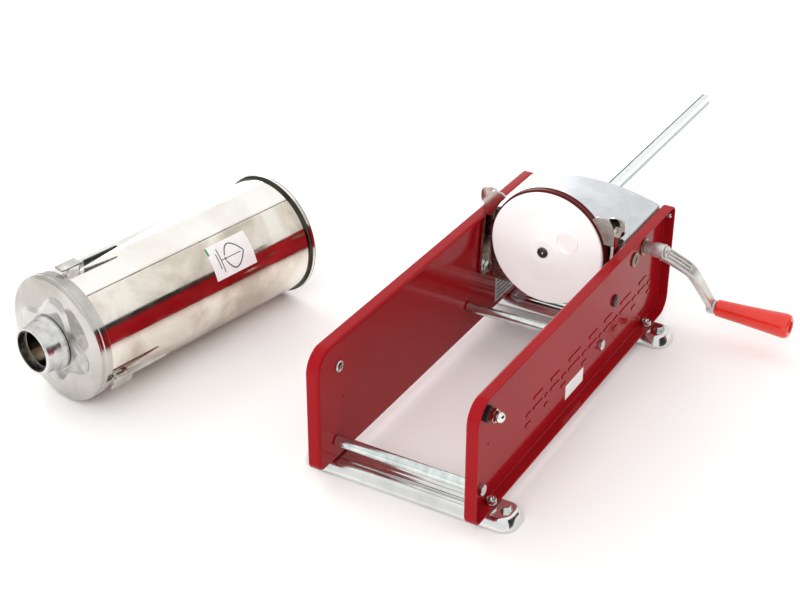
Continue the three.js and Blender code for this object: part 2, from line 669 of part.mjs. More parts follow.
// A flat disc in the piston's face on a stem, with a clip behind that stops it after 3 mm.
function airValve() {
  const back = RACK.front - GAP;
  const profile = [
    [VALVE_FACE + 0.4, VALVE.r], [VALVE_FACE + 2.6, VALVE.r], [VALVE_FACE + 2.6, VALVE.stem],
    [back + 3.4, VALVE.stem], [back + 3.4, VALVE.stem + 2], [back + 5, VALVE.stem + 2],
  ];
  return turned("y", VALVE_AT, profile);
}

piece("piston_disc", pistonDisc(), LOOKS.white);
piece("piston_seal", pistonSeal(), LOOKS.seal);
piece("piston_back_plate", pistonBackPlate(), LOOKS.steel);
piece("piston_screw", pistonScrew(), LOOKS.dark);
piece("air_valve", airValve(), LOOKS.white);

// ---------------------------------------------------------------- crank

// Built hanging straight down from the shaft, then leaned towards the rear about it.
function crankArm() {
  const { start, reach, width, splay, boss } = ARM;
  const side = polygon([
    [start + 1, 7.5], [start + 1, -7.5], [start + 9, -10], [start + 30, -26], [start + 37, -37],
    [start + splay, -reach + 8], [start + splay + 9, -reach + 8], [start + 47, -32],
    [start + 38, -17], [start + 16, -1], [start + 13, 7.5],
  ]);
  const slab = plateXZ(side, -width / 2, width / 2);
  const taper = polygon([
    [-width / 2 - 1, 20], [-width / 2 - 1, -20], [-6.5, -reach], [6.5, -reach],
    [width / 2 + 1, -20], [width / 2 + 1, 20],
  ]);
  const bar = slab.intersect(plateYZ(taper, start, start + boss + 1));
  const hub = rod("x", [0, 0, 0], 8.6, start, start + 13);
  const foot = rod("x", [0, 0, -reach], 8.6, start + splay, start + boss, SMALL);
  const grooves = [-4, 0, 4].map((y) => grooveAlongArm(y, start));
  const shaftHole = rod("x", [0, 0, 0], 5.5 + SLIDE, start - 1, start + 20, SMALL);
  const pinHole = rod("x", [0, 0, -reach], GRIP.pin + SLIDE, start + splay - 1, start + boss + 1, SMALL);
  const capSeat = rod("x", [0, 0, 0], 7.6, start + 13, start + 30);
  return cut(join(bar, hub, foot), ...grooves, shaftHole, pinHole, capSeat);
}

// A shallow groove along the slanting first stretch of the arm.
function grooveAlongArm(y, start) {
  const run = new THREE.BoxGeometry(26, 1.6, 3);
  run.rotateY(THREE.MathUtils.degToRad(44));
  run.translate(start + 27, y, -7.6);
  return solid(run);
}

const crank = new THREE.Group();
crank.position.set(0, CRANK.y, CRANK.z);
crank.rotation.x = ARM.lean;
group.add(crank);

const crankCap = turned("x", [0, 0, 0], [
  [ARM.start + 13 + GAP, 7.2], [ARM.start + 15.6, 7.2], [ARM.start + 17, 5.8], [ARM.start + 17.6, 3.4],
]);
const crankCapBore = rod("x", [0, 0, 0], 5.5 + SLIDE, ARM.start + 12, ARM.start + 15.4, SMALL);
piece("crank_arm", crankArm(), LOOKS.chrome, crank);
piece("crank_nut", cut(crankCap, crankCapBore), LOOKS.chrome, crank);

function grip() {
  const at = [0, 0, -ARM.reach];
  const { start, end, inner, outer, pin } = GRIP;
  const profile = [
    [start, inner], [start + 2, inner + 0.8], [start + 40, inner + 2.6], [end - 12, outer - 0.3],
    [end - 7, outer], [end - 2.5, outer - 1.4], [end, outer - 4.6],
  ];
  const bore = rod("x", at, pin + SLIDE, start - 1, end, SMALL);
  const recess = rod("x", at, pin + 2.6, end - 7, end + 1, SMALL);
  return cut(turned("x", at, profile), bore, recess);
}

function gripPin() {
  const at = [0, 0, -ARM.reach];
  const { end, pin } = GRIP;
  const head = [[end - 6.7, pin + 2.2], [end - 4, pin + 2.2], [end - 3, pin + 0.6]];
  return turned("x", at, [[ARM.start + ARM.splay - 2, pin], [end - 6.7, pin], ...head], SMALL);
}

piece("grip", grip(), LOOKS.grip, crank);
piece("grip_pin", gripPin(), LOOKS.zinc, crank);

// ---------------------------------------------------------------- filling cylinder

// Built with its axis along Y, the open rim at y = 0 and the nozzle end towards -Y, and
// its hooks level as they sit in the machine. Then it is rolled and laid on the table.
const cylinder = new THREE.Group();
cylinder.position.set(CYL_PLACE.x, CYL_PLACE.y, CYL.rim);
cylinder.rotation.z = -CYL_PLACE.yaw;
const rolled = new THREE.Group();
rolled.rotation.y = CYL_ROLL;
cylinder.add(rolled);
group.add(cylinder);

const AXIS = [0, 0, 0];
const TUBE_OUTER = BORE + CYL.wall;

function cylinderTube() {
  const outside = [
    [-CYL.length + 6, TUBE_OUTER], [-8, TUBE_OUTER], [-6, CYL.rim - 0.8], [-4, CYL.rim], [-1, CYL.rim],
    [0, CYL.rim - 1],
  ];
  return cut(turned("y", AXIS, outside, FINE), rod("y", AXIS, BORE, -CYL.length, 1, FINE));
}

// A raised boss with four broad lobes, on which the nozzle nut closes.
function lobedBoss(back) {
  const outline = new THREE.Shape();
  const steps = 32;
  for (let i = 0; i < steps; i += 1) {
    const angle = (i * 2 * Math.PI) / steps;
    const radius = 43 - 9 * Math.cos(4 * angle);
    const point = [radius * Math.cos(angle), radius * Math.sin(angle)];
    outline[i === 0 ? "moveTo" : "lineTo"](...point);
  }
  return plateXZ(outline, back - CYL.boss, back + 1);
}

function frontCap() {
  const face = -CYL.length;
  const outside = [
    [face - 20, CYL.neck], [face, CYL.neck], [face, CYL.cap - 26], [face + 0.9, CYL.cap - 11],
    [face + 2.2, CYL.cap - 4], [face + 5, CYL.cap], [face + CYL.skirt, CYL.cap],
  ];
  const inside = [
    [face + 2, CYL.cap - 26], [face + 4, TUBE_OUTER - 6], [face + 5.4, TUBE_OUTER + GAP],
    [face + CYL.skirt + 1, TUBE_OUTER + GAP],
  ];
  const shell = join(turned("y", AXIS, outside, FINE), lobedBoss(face));
  const body = cut(shell, turned("y", AXIS, inside, FINE));
  return cut(body, rod("y", AXIS, CYL.neckBore, face - 21, face + 5, FINE / 2));
}

// A hook bracket on the tube behind the cap's skirt. A fin rises from its curved foot and
// runs back as a point held clear of the tube, and a hood is turned over the fin's front end.
function hookBracket(side) {
  const foot = polygon([[-309, -4.5], [-297, -4.5], [-289, -1.5], [-289, 1.5], [-297, 4.5], [-309, 4.5]]);
  const tube = rod("y", AXIS, TUBE_OUTER + GAP, -311, -225, 2 * FINE);
  const outside = rod("y", AXIS, TUBE_OUTER + GAP + 1.6, -310, -226, 2 * FINE);
  const base = plateYZ(foot, TUBE_OUTER - 5, HOOK.top).intersect(outside);
  const blade = polygon([[68, -307], [68, -298], [TUBE_OUTER + 1, -290], [HOOK.top - 1.4, -236],
    [HOOK.top, -238], [HOOK.top, -307]]);
  const fin = upright(blade, -1.1, 1.1);
  const slot = box(72.4, HOOK.top - HOOK.sheet, -303, -289, -2, 2);
  const hood = box(HOOK.top - HOOK.sheet, HOOK.top, -312, -286, -1, 12);
  const whole = cut(join(base, cut(fin, slot), hood), tube);
  return side > 0 ? whole : mirrored(whole);
}

// The cast nozzle nut: a round collar that narrows towards the front over the threaded neck.
function nozzleNut() {
  const back = -CYL.length - CYL.boss - 0.5;
  const outside = [
    [back - 26, 26], [back - 24.6, 27.3], [back - 16, 28.4], [back - 8, 30], [back - 2, 31.6], [back, 31],
  ];
  const throat = rod("y", AXIS, CYL.neckBore + 1, back - 27, back - 14);
  const thread = rod("y", AXIS, CYL.neck + SLIDE, back - 16, back + 1, FINE);
  return cut(turned("y", AXIS, outside, FINE), throat, thread);
}

piece("cylinder_tube", cylinderTube(), LOOKS.polished, rolled);
piece("cylinder_cap", frontCap(), LOOKS.polished, rolled);
for (const [word, side] of SIDES) {
  const bracket = piece(`hook_bracket_${word}`, hookBracket(side), LOOKS.polished, rolled);
  bracket.rotation.y = side * HOOK.drop;
}
piece("nozzle_nut", nozzleNut(), LOOKS.polished, rolled);

// ---------------------------------------------------------------- frame

group.position.y = -ORIGIN_Y;

export default group;
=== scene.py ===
"""Looks for the horizontal sausage stuffer: every visible piece, its material, light and camera."""

import math

import bmesh
import bpy
from mathutils import Matrix, Vector


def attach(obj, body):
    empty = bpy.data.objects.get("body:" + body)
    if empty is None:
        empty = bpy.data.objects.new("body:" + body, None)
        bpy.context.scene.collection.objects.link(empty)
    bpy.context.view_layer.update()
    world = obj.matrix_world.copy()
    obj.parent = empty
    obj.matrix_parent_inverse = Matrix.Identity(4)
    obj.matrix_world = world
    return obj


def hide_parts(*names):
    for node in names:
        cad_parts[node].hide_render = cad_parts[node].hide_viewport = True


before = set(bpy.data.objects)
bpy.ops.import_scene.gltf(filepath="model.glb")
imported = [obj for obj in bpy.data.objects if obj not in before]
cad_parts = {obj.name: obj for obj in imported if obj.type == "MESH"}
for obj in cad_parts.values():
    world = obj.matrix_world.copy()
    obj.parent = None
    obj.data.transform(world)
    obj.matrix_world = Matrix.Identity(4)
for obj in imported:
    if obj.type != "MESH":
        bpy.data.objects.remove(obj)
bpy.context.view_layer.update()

# ---------------------------------------------------------------- placements, in millimetres

MM = 0.001
TURN = 2 * math.pi
PLANE_YZ = Matrix(((0, 0, 1, 0), (1, 0, 0, 0), (0, 1, 0, 0), (0, 0, 0, 1)))
PLANE_XZ = Matrix(((1, 0, 0, 0), (0, 0, 1, 0), (0, 1, 0, 0), (0, 0, 0, 1)))


def along(axis, at):
    """The placement whose local Z axis points along an axis from a point."""
    turn = Vector(axis).to_track_quat("Z", "Y").to_matrix().to_4x4()
    return Matrix.Translation(at) @ turn


def crosswise(y, z, side=1):
    return along((side, 0, 0), (0, y, z))


def spin(degrees, axis="Z"):
    return Matrix.Rotation(math.radians(degrees), 4, axis)


def polar(radius, angle, height):
    return Vector((radius * math.cos(angle), radius * math.sin(angle), height))


# ---------------------------------------------------------------- shared dimensions, in millimetres

SIDES = (("right", 1), ("left", -1))

PLATE_Y = (-25.75, 459.25)
PLATE_Z = (14.4, 152.4)
PLATE_CORNERS = (10, 20, 10, 24)  # front bottom, rear bottom, rear top, front top
WEB_INNER, WEB_OUTER, FLANGE_EDGE = 81.0, 83.0, 95.0
BEND = 3.2
SHEET = 2.0

FOOT_Y = {"front": 17.25, "rear": 409.75}
FOOT_HALF = 122.0
FOOT_BOLT_X = 89.5
TIES = {"front": (5.25, 38.0, 6.0), "rear": (286.25, 53.0, 5.5)}  # y, z, radius
PIVOT_Y, PIVOT_Z = 11.85, 123.3
SMALL_HOLE = (19.45, 82.8, 1.6)
LEVER_Y, LEVER_Z = 320.95, 91.0
AXIS_Z = 134.8
CRANK_Y, CRANK_Z = 397.95, 122.8
CRANK_THROW = 99
IDLER_Y, IDLER_Z = 371.29, 118.5
COVER_Y = (344.25, 444.25)
COVER_TOP, COVER_SHOULDER, COVER_SKIRT, COVER_SHEET = 167.6, 154.4, 139.0, 1.6
VALVE_X, VALVE_Z = 27.0, 152.1
DISC_FRONT, DISC_R = 307.25, 66.9

TUBE_OUTER = 70.7
WELD_ANGLE = 231.0
LABEL_ANGLE = math.radians(255.4)
LABEL_FROM, LABEL_LONG, LABEL_WIDE = 90.5, 61.2, 40.3
LOBE_ANGLE = math.radians(32)

CRANK = Matrix.Translation((0, CRANK_Y, CRANK_Z)) @ spin(32, "X")
CYLINDER = Matrix.Translation((-351, 290.65, 74.2)) @ spin(-10.76) @ spin(-109, "Y")
TUBE = CYLINDER @ along((0, 1, 0), (0, 0, 0))
PISTON = along((0, 1, 0), (0, 0, AXIS_Z))
VALVE = along((0, 1, 0), (VALVE_X, 0, VALVE_Z))
WELD_HEIGHT = (TUBE @ polar(TUBE_OUTER, math.radians(WELD_ANGLE), -150.0)).z

# ---------------------------------------------------------------- outlines and profiles


def softened(points, closed=False, steps=4):
    """A run of (a, b, radius) corners with each corner rounded by its radius."""
    out = []
    count = len(points)
    for i, corner in enumerate(points):
        here = Vector(corner[:2])
        radius = corner[2] if len(corner) > 2 else 0
        if radius == 0 or (not closed and i in (0, count - 1)):
            out.append(here)
            continue
        before = Vector(points[i - 1][:2]) - here
        after = Vector(points[(i + 1) % count][:2]) - here
        angle = before.angle(after)
        if angle > math.pi - 0.02:
            out.append(here)
            continue
        reach = min(radius / math.tan(angle / 2), 0.48 * before.length, 0.48 * after.length)
        start = here + before.normalized() * reach
        end = here + after.normalized() * reach
        for step in range(steps + 1):
            t = step / steps
            out.append(start * (1 - t) ** 2 + here * (2 * t * (1 - t)) + end * t**2)
    return out


def arc(at, radius, start, end, steps):
    """Points on an arc between two angles in degrees."""
    angles = [math.radians(start + (end - start) * step / steps) for step in range(steps + 1)]
    return [(at[0] + radius * math.cos(a), at[1] + radius * math.sin(a)) for a in angles]


def circle(at, radius):
    return arc(at, radius, 0, 360, 32)[:-1]


def rounded_rectangle(u, v, radii, inset=0.0, steps=10):
    """Points of a rectangle with its own radius at each corner, anticlockwise from low left."""
    if not isinstance(radii, tuple):
        radii = (radii,) * 4
    corners = (
        (u[0], v[0], 1, 1, 180),
        (u[1], v[0], -1, 1, 270),
        (u[1], v[1], -1, -1, 0),
        (u[0], v[1], 1, -1, 90),
    )
    out = []
    for (x, y, sx, sy, start), corner in zip(corners, radii):
        radius = max(corner - inset, 0.6)
        centre = (x + sx * (inset + radius), y + sy * (inset + radius))
        out += arc(centre, radius, start, start + 90, steps)
    return out


def threaded(start, end, radius, pitch=1.0, depth=0.3):
    """A profile of fine ridges that stands for a screw thread."""
    out = []
    count = max(2, int(abs(end - start) / pitch))
    step = (end - start) / count
    for i in range(count):
        out.append((start + step * (i + 0.05), radius))
        out.append((start + step * (i + 0.5), radius - depth))
    out.append((end, radius - depth))
    return out


# ---------------------------------------------------------------- mesh building


def ring(bm, points):
    return [bm.verts.new(point) for point in points]


def bridge(bm, first, second):
    """Quads, or triangles round a pole, between two rings."""
    if len(first) == 1 and len(second) == 1:
        return
    count = max(len(first), len(second))
    for i in range(count):
        j = (i + 1) % count
        if len(first) == 1:
            bm.faces.new((first[0], second[j], second[i]))
        elif len(second) == 1:
            bm.faces.new((first[i], first[j], second[0]))
        else:
            bm.faces.new((first[i], first[j], second[j], second[i]))


def skin(bm, rings, closed=False, capped=False):
    """Bridges a run of rings, with the last joined to the first or a face over each end."""
    for first, second in zip(rings, rings[1:] + rings[:1] * closed):
        bridge(bm, first, second)
    if capped:
        bm.faces.new(rings[0])
        bm.faces.new(rings[-1])


def fill(bm, *loops):
    """Triangles across a flat face whose first loop is its outline and the rest its holes."""
    edges = []
    for loop in loops:
        for i, vert in enumerate(loop):
            other = loop[(i + 1) % len(loop)]
            edges.append(bm.edges.get((vert, other)) or bm.edges.new((vert, other)))
    bmesh.ops.triangle_fill(bm, edges=edges, use_beauty=True, use_dissolve=False)


def revolve(bm, profile, place, segments=64, closed=False, radius_at=None):
    """Turns a profile of (along, radius) points about the local Z axis of a placement."""
    angles = [TURN * i / segments for i in range(segments)]
    rings = []
    for level, radius in profile:
        if radius < 1e-6:
            rings.append(ring(bm, [place @ Vector((0, 0, level))]))
            continue
        radii = [radius_at(level, radius, a) if radius_at else radius for a in angles]
        rings.append(ring(bm, [place @ polar(r, a, level) for r, a in zip(radii, angles)]))
    skin(bm, rings, closed, capped=not closed and len(rings[0]) > 1)


def slab(bm, outline, low, high, place, holes=()):
    """A flat plate between two planes of a placement, with its holes."""
    faces = [
        [ring(bm, [place @ Vector((*p, level)) for p in points]) for points in (outline, *holes)]
        for level in (low, high)
    ]
    for lower, upper in zip(*faces):
        bridge(bm, lower, upper)
    for loops in faces:
        fill(bm, *loops)


def hexagon(bm, place, flats, low, high, bore=0.0):
    """A hexagonal prism with its corners chamfered off in a cone, and a bore or none."""
    count = 48
    lead = 0.5
    inner = flats / 2 * 0.985
    slope = math.tan(math.radians(28))
    angles = [TURN * i / count for i in range(count)]
    reach = [flats / 2 / math.cos((a % (TURN / 6)) - TURN / 12) for a in angles]
    drop = [(r - inner) * slope for r in reach]

    def loop(radii, heights):
        return ring(bm, [place @ polar(r, a, h) for r, a, h in zip(radii, angles, heights)])

    def level(radius, height):
        return loop([radius] * count, [height] * count)

    rings = [level(inner, low), loop(reach, [low + d for d in drop])]
    rings += [loop(reach, [high - d for d in drop]), level(inner, high)]
    if bore > 0:
        rings += [level(bore + lead, high), level(bore, high - lead)]
        rings += [level(bore, low + lead), level(bore + lead, low)]
    skin(bm, rings, closed=bore > 0, capped=bore <= 0)


def scaled(bm, factor):
    bmesh.ops.scale(bm, vec=(factor, factor, factor), verts=bm.verts)


def mesh_of(name, bm, material=None):
    mesh = bpy.data.meshes.new(name)
    bm.to_mesh(mesh)
    bm.free()
    if material is not None:
        mesh.materials.append(material)
    return mesh


def placed(name, data):
    """A new object in the scene's own collection."""
    made = bpy.data.objects.new(name, data)
    bpy.context.scene.collection.objects.link(made)
    return made


def shade(mesh, sharp):
    """Smooth faces, with the edges above an angle in degrees kept sharp."""
    for polygon in mesh.polygons:
        polygon.use_smooth = True
    mesh.set_sharp_from_angle(angle=math.radians(sharp))


STEELS = ("tube", "rim", "boss", "cap", "hook", "foot", "weld")
SLOT_OF = {"satin_cast": "chrome", "lever_steel": "plain_steel", "rack_zinc": "zinc_steel"}
SLOT_OF["cast_metal"] = "polished_steel"
SLOT_OF.update({f"{name}_steel": "polished_steel" for name in STEELS})
SLOT_OF.update(dict.fromkeys(("label_white", "label_grey", "label_ink", "label_green")))


def make_piece(name, bm, material, body, node=None, slot=None, sharp=35.0, bevel=0.0, place=None):
    """Turns millimetre geometry into a finished object that rides on a CAD body."""
    bmesh.ops.remove_doubles(bm, verts=bm.verts, dist=1e-4)
    bmesh.ops.recalc_face_normals(bm, faces=bm.faces)
    if place is not None:
        bmesh.ops.transform(bm, matrix=place, verts=bm.verts)
    scaled(bm, MM)
    piece = placed(name, mesh_of(name, bm, material))
    shade(piece.data, sharp)
    if bevel > 0:
        add_bevel(piece, bevel)
    weighted = piece.modifiers.new("weighted", "WEIGHTED_NORMAL")
    weighted.keep_sharp = True
    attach(piece, body)
    if node:
        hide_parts(node)
    look = material.name.split(".")[0]
    slot = slot or SLOT_OF.get(look, look)
    return piece


def add_bevel(piece, width):
    rounded = piece.modifiers.new("edges", "BEVEL")
    rounded.width = width * MM
    rounded.segments = 3
    rounded.limit_method = "ANGLE"
    rounded.angle_limit = math.radians(30.0)
    rounded.use_clamp_overlap = True
    rounded.harden_normals = False


def lathe(name, points, place, segments, material, body, node=None, closed=False, steps=4, **options):
    """A piece turned from one run of (along, radius, rounding) points."""
    bm = bmesh.new()
    revolve(bm, softened(points, closed, steps), place, segments, closed)
    return make_piece(name, bm, material, body, node, **options)


def refined(node, name, material, body, bevel=0.4):
    """A CAD node's own shape, its flat faces made whole again and its edges broken by a bevel."""
    bm = bmesh.new()
    bm.from_mesh(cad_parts[node].data)
    scaled(bm, 1 / MM)
    bmesh.ops.remove_doubles(bm, verts=bm.verts, dist=1e-3)
    bmesh.ops.dissolve_limit(bm, angle_limit=math.radians(1.0), verts=bm.verts, edges=bm.edges)
    make_piece(name, bm, material, body, node, bevel=bevel)


def cut_from(piece, cutter_bm):
    """Cuts a millimetre shape out of a finished piece for good."""
    bmesh.ops.recalc_face_normals(cutter_bm, faces=cutter_bm.faces)
    scaled(cutter_bm, MM)
    cutter = placed("cutter", mesh_of("cutter", cutter_bm))
    others = [modifier.name for modifier in piece.modifiers]
    boolean = piece.modifiers.new("cut", "BOOLEAN")
    boolean.operation = "DIFFERENCE"
    boolean.solver = "EXACT"
    boolean.object = cutter
    for name in others:
        piece.modifiers[name].show_viewport = False
    bpy.context.view_layer.update()
    graph = bpy.context.evaluated_depsgraph_get()
    result = bpy.data.meshes.new_from_object(piece.evaluated_get(graph))
    piece.modifiers.remove(boolean)
    for name in others:
        piece.modifiers[name].show_viewport = True
    piece.data = result
    bpy.data.objects.remove(cutter)
    shade(result, 35)


# ---------------------------------------------------------------- material nodes


def set_stops(node, stops):
    """Positions and colours or grey levels of a ramp."""
    elements = node.color_ramp.elements
    while len(elements) < len(stops):
        elements.new(0.5)
    for element, (position, colour) in zip(elements, stops):
        element.position = position
        element.color = (*colour, 1.0) if isinstance(colour, tuple) else (colour, colour, colour, 1.0)


def fade(low, high, start=0.3, end=0.75):
    """The two stops of a ramp from one value to another."""
    return [(start, low), (end, high)]


class Nodes:
    """A few short calls that build a material's node tree."""

    def __init__(self, name):
        self.material = bpy.data.materials.new(name)
        self.material.use_nodes = True
        self.tree = self.material.node_tree
        self.tree.nodes.clear()
        output = self.add("OutputMaterial")
        self.shader = self.add("BsdfPrincipled")
        self.put(output.inputs["Surface"], self.shader.outputs["BSDF"])
        self.where = self.add("TexCoord").outputs["Object"]

    def put(self, socket, value):
        """Links an output to a socket, or sets a uniform value on it."""
        if isinstance(value, bpy.types.NodeSocket):
            self.tree.links.new(value, socket)
        else:
            socket.default_value = value

    def add(self, kind, **values):
        node = self.tree.nodes.new("ShaderNode" + kind)
        for key, value in values.items():
            self.put(node.inputs[key.replace("_", " ")], value)
        return node

    def set(self, **values):
        """Links or uniform values on the shader's sockets."""
        for key, value in values.items():
            self.put(self.shader.inputs[key.replace("_", " ")], value)

    def mapped(self, scale=(1, 1, 1), location=(0, 0, 0)):
        return self.add("Mapping", Vector=self.where, Scale=scale, Location=location).outputs["Vector"]

    def axis(self, letter):
        return self.add("SeparateXYZ", Vector=self.where).outputs[letter]

    def noise(self, scale, detail=4.0, rough=0.55, distortion=0.0, stretch=None):
        """A noise level, its coordinates scaled by three factors or not at all."""
        vector = self.mapped(stretch) if stretch else self.where
        node = self.add("TexNoise", Vector=vector, Scale=scale, Detail=detail)
        self.put(node.inputs["Roughness"], rough)
        self.put(node.inputs["Distortion"], distortion)
        return node.outputs["Fac"]

    def ramp(self, value, stops):
        node = self.add("ValToRGB", Fac=value)
        set_stops(node, stops)
        return node.outputs["Color"]

    def mix(self, factor, first, second, blend="MIX"):
        node = self.add("Mix")
        node.data_type = "RGBA"
        node.blend_type = blend
        for socket, value in ((0, factor), (6, first), (7, second)):
            self.put(node.inputs[socket], (*value, 1.0) if isinstance(value, tuple) else value)
        return node.outputs[2]

    def math(self, operation, first, second):
        node = self.add("Math")
        node.operation = operation
        self.put(node.inputs[0], first)
        self.put(node.inputs[1], second)
        return node.outputs[0]

    def bump(self, height, distance, strength, **normal):
        node = self.add("Bump", Height=height, Distance=distance, Strength=strength, **normal)
        return node.outputs["Normal"]

    def coat(self, tone_noise, tones, rough_noise, roughs, grain_noise=None, relief=(), stretch=None):
        """Colour, roughness and relief, each from a noise of its own."""
        self.set(Base_Color=self.ramp(self.noise(*tone_noise), tones))
        self.set(Roughness=self.ramp(self.noise(*rough_noise), fade(*roughs)))
        if grain_noise:
            self.set(Normal=self.bump(self.noise(*grain_noise, stretch=stretch), *relief))

    def buffed(self):
        """Bare metal with the slow ripple and fine marks of polished sheet."""
        ripple = self.bump(self.noise(14, 2), 0.0006, 0.35)
        marks = self.noise(30, 2, stretch=(40, 40, 40))
        self.set(Normal=self.bump(marks, 0.00002, 0.35, Normal=ripple), Metallic=1.0)


def surface(name, *coat, stretch=None, **values):
    """A whole material from its noises and a few uniform values."""
    n = Nodes(name)
    n.coat(*coat, stretch=stretch)
    n.set(**values)
    return n.material


def polished_steel(name, light, dark, smooth, rough, stain_and_reflection_scale):
    """Mirror-bright stainless clouded between a light and a dark tone, with fine polishing marks; the
    clouds are stains on most parts, painted reflection patches on the cap's boss, and painted shade
    over the tube's rim.
    """
    n = Nodes(name)
    mottled = n.ramp(n.noise(stain_and_reflection_scale, 4, 0.5, 0.4), [(0.36, dark), (0.56, light), (0.8, light)])
    spots = n.ramp(n.noise(stain_and_reflection_scale * 4, 3), fade(0.95, 1.0, 0.3, 0.6))
    n.set(Base_Color=n.mix(1.0, mottled, spots, "MULTIPLY"))
    n.set(Roughness=n.ramp(n.noise(stain_and_reflection_scale * 2.3, 5), fade(smooth, rough, 0.3, 0.72)))
    n.buffed()
    return n.material


def tube_steel():
    """The drawn tube: near-white above the weld; below it, painted shade in darker straw tones,
    clouded.
    """
    n = Nodes("tube_steel")
    full, blend = 145, 0.012
    weld = WELD_HEIGHT / full
    height = n.math("MULTIPLY", n.axis("Z"), 1 / (full * MM))
    # Painted shade: below the weld's height the tube turns to the darker straw tones.
    lower = n.ramp(height, fade(1.0, 0.0, weld - blend, weld + blend))
    clouds = n.noise(15, 5, 0.55, 0.5)
    upper_tones = n.ramp(clouds, fade((0.88, 0.85, 0.80), (0.96, 0.94, 0.90), 0.34, 0.56))
    painted_shade_tones = [(0.38, (0.52, 0.46, 0.38)), (0.50, (0.68, 0.62, 0.54)), (0.64, (0.84, 0.80, 0.73))]
    n.set(Base_Color=n.mix(lower, upper_tones, n.ramp(clouds, painted_shade_tones)))
    n.set(Roughness=n.ramp(n.noise(33, 5), fade(0.05, 0.14, 0.3, 0.72)))
    n.buffed()
    return n.material


def hook_steel():
    """Spot-welded hook sheet: bright over the folded hood, with painted shade in a near-black tone
    along the fin behind it.
    """
    n = Nodes("hook_steel")
    reach = [vert.co.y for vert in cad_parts["hook_bracket_right"].data.vertices]
    start, length = min(reach), max(reach) - min(reach)
    back = n.math("MULTIPLY", n.math("SUBTRACT", n.axis("Y"), start), 1 / length)
    # Painted shade: the rear part of the hook, its fin, takes a near-black tone.
    painted_fin_shade = n.ramp(back, fade(0.0, 1.0, 0.36, 0.38))
    clouds = n.noise(40, 4)
    bright = n.ramp(clouds, fade((0.50, 0.49, 0.47), (0.78, 0.77, 0.75), 0.36, 0.6))
    dark = n.ramp(clouds, fade((0.05, 0.055, 0.055), (0.10, 0.105, 0.105), 0.36, 0.6))
    n.set(Base_Color=n.mix(painted_fin_shade, bright, dark))
    n.set(Roughness=n.ramp(n.noise(90, 3), fade(0.16, 0.30, 0.3, 0.72)))
    n.set(Normal=n.bump(n.noise(14, 2), 0.0004, 0.3), Metallic=1.0)
    return n.material


def rack_zinc():
    """The rack's plating: bright, with a painted dark reflection along one top edge and painted shade
    on its lower edges.
    """
    n = Nodes("rack_zinc")
    wobble = n.math("MULTIPLY", n.noise(90, 3), 0.10)
    across = n.math("ADD", n.math("MULTIPLY", n.axis("X"), 0.1 / MM), 0.5)
    # Painted reflection: a near-black strip along the top of the bar's -X side.
    side = n.ramp(n.math("ADD", across, wobble), fade(1.0, 0.0, 0.20, 0.27))
    height = n.math("MULTIPLY", n.math("SUBTRACT", n.axis("Z"), 129 * MM), 0.1 / MM)
    edge = n.mix(1.0, side, n.ramp(height, fade(0.0, 1.0, 0.78, 0.84)), "MULTIPLY")
    # Painted shade: the lower part of the bar goes to a duller grey-green.
    low = n.ramp(n.math("ADD", height, wobble), fade(1.0, 0.0, 0.34, 0.46))
    plating = n.ramp(n.noise(60, 3), fade((0.84, 0.89, 0.87), (0.94, 0.97, 0.95), 0.3, 0.7))
    n.set(Base_Color=n.mix(edge, n.mix(low, plating, (0.34, 0.43, 0.41)), (0.05, 0.08, 0.08)))
    n.set(Roughness=n.ramp(n.noise(160, 3), fade(0.12, 0.26)))
    n.set(Normal=n.bump(n.noise(20, 3, stretch=(60, 2, 60)), 0.00004, 0.4), Metallic=1.0)
    return n.material


def white_plastic():
    """Turned white food-grade plastic with very faint tool rings about the piston axis."""
    n = Nodes("white_plastic")
    n.coat((30, 4), fade((0.88, 0.865, 0.86), (0.92, 0.91, 0.905), 0.3, 0.7), (180, 3), (0.26, 0.38))
    rings = n.add("TexWave", Vector=n.mapped(location=(0, 0, -AXIS_Z * MM)), Scale=420, Distortion=0.4)
    rings.wave_type = "RINGS"
    rings.rings_direction = "Y"
    n.set(Normal=n.bump(rings.outputs["Fac"], 0.00002, 0.25))
    # Painted light: a faint white emission makes the plastic glow brighter than the lamps alone light
    # it.
    n.set(Specular_IOR_Level=0.5, Emission_Color=(1.0, 0.99, 0.985, 1.0), Emission_Strength=0.14)
    return n.material


def label_film(name, colour):
    """Printed plastic film with a faint grain."""
    tones = fade(tuple(c * 0.93 for c in colour), colour, 0.3, 0.7)
    return surface(name, (90, 3), tones, (400, 3), (0.3, 0.42), (900, 2), (0.00002, 0.5))


TUBE_STEEL = tube_steel()
# Painted shade: both tones of the rim steel are near-black, so the band over the bead reads as shade.
RIM_PAINTED_SHADE = polished_steel("rim_steel", (0.06, 0.055, 0.045), (0.028, 0.026, 0.021), 0.14, 0.28, 30)
# Painted reflection: the boss's dark tone clouds it with dark patches that stand for reflections of the
# dark room.
BOSS_STEEL = polished_steel("boss_steel", (0.58, 0.57, 0.555), (0.18, 0.175, 0.17), 0.08, 0.2, 24)
CAP_STEEL = polished_steel("cap_steel", (0.58, 0.56, 0.53), (0.43, 0.41, 0.38), 0.06, 0.16, 16)
FOOT_STEEL = polished_steel("foot_steel", (0.80, 0.81, 0.80), (0.67, 0.69, 0.68), 0.10, 0.20, 18)
WELD_STEEL = polished_steel("weld_steel", (0.36, 0.33, 0.29), (0.20, 0.18, 0.15), 0.2, 0.35, 60)
HOOK_STEEL = hook_steel()
RACK_ZINC = rack_zinc()
WHITE = white_plastic()
LABEL_WHITE = label_film("label_white", (0.86, 0.86, 0.86))
LABEL_GREY = label_film("label_grey", (0.50, 0.46, 0.46))
LABEL_INK = label_film("label_ink", (0.05, 0.05, 0.06))
LABEL_GREEN = label_film("label_green", (0.03, 0.30, 0.13))

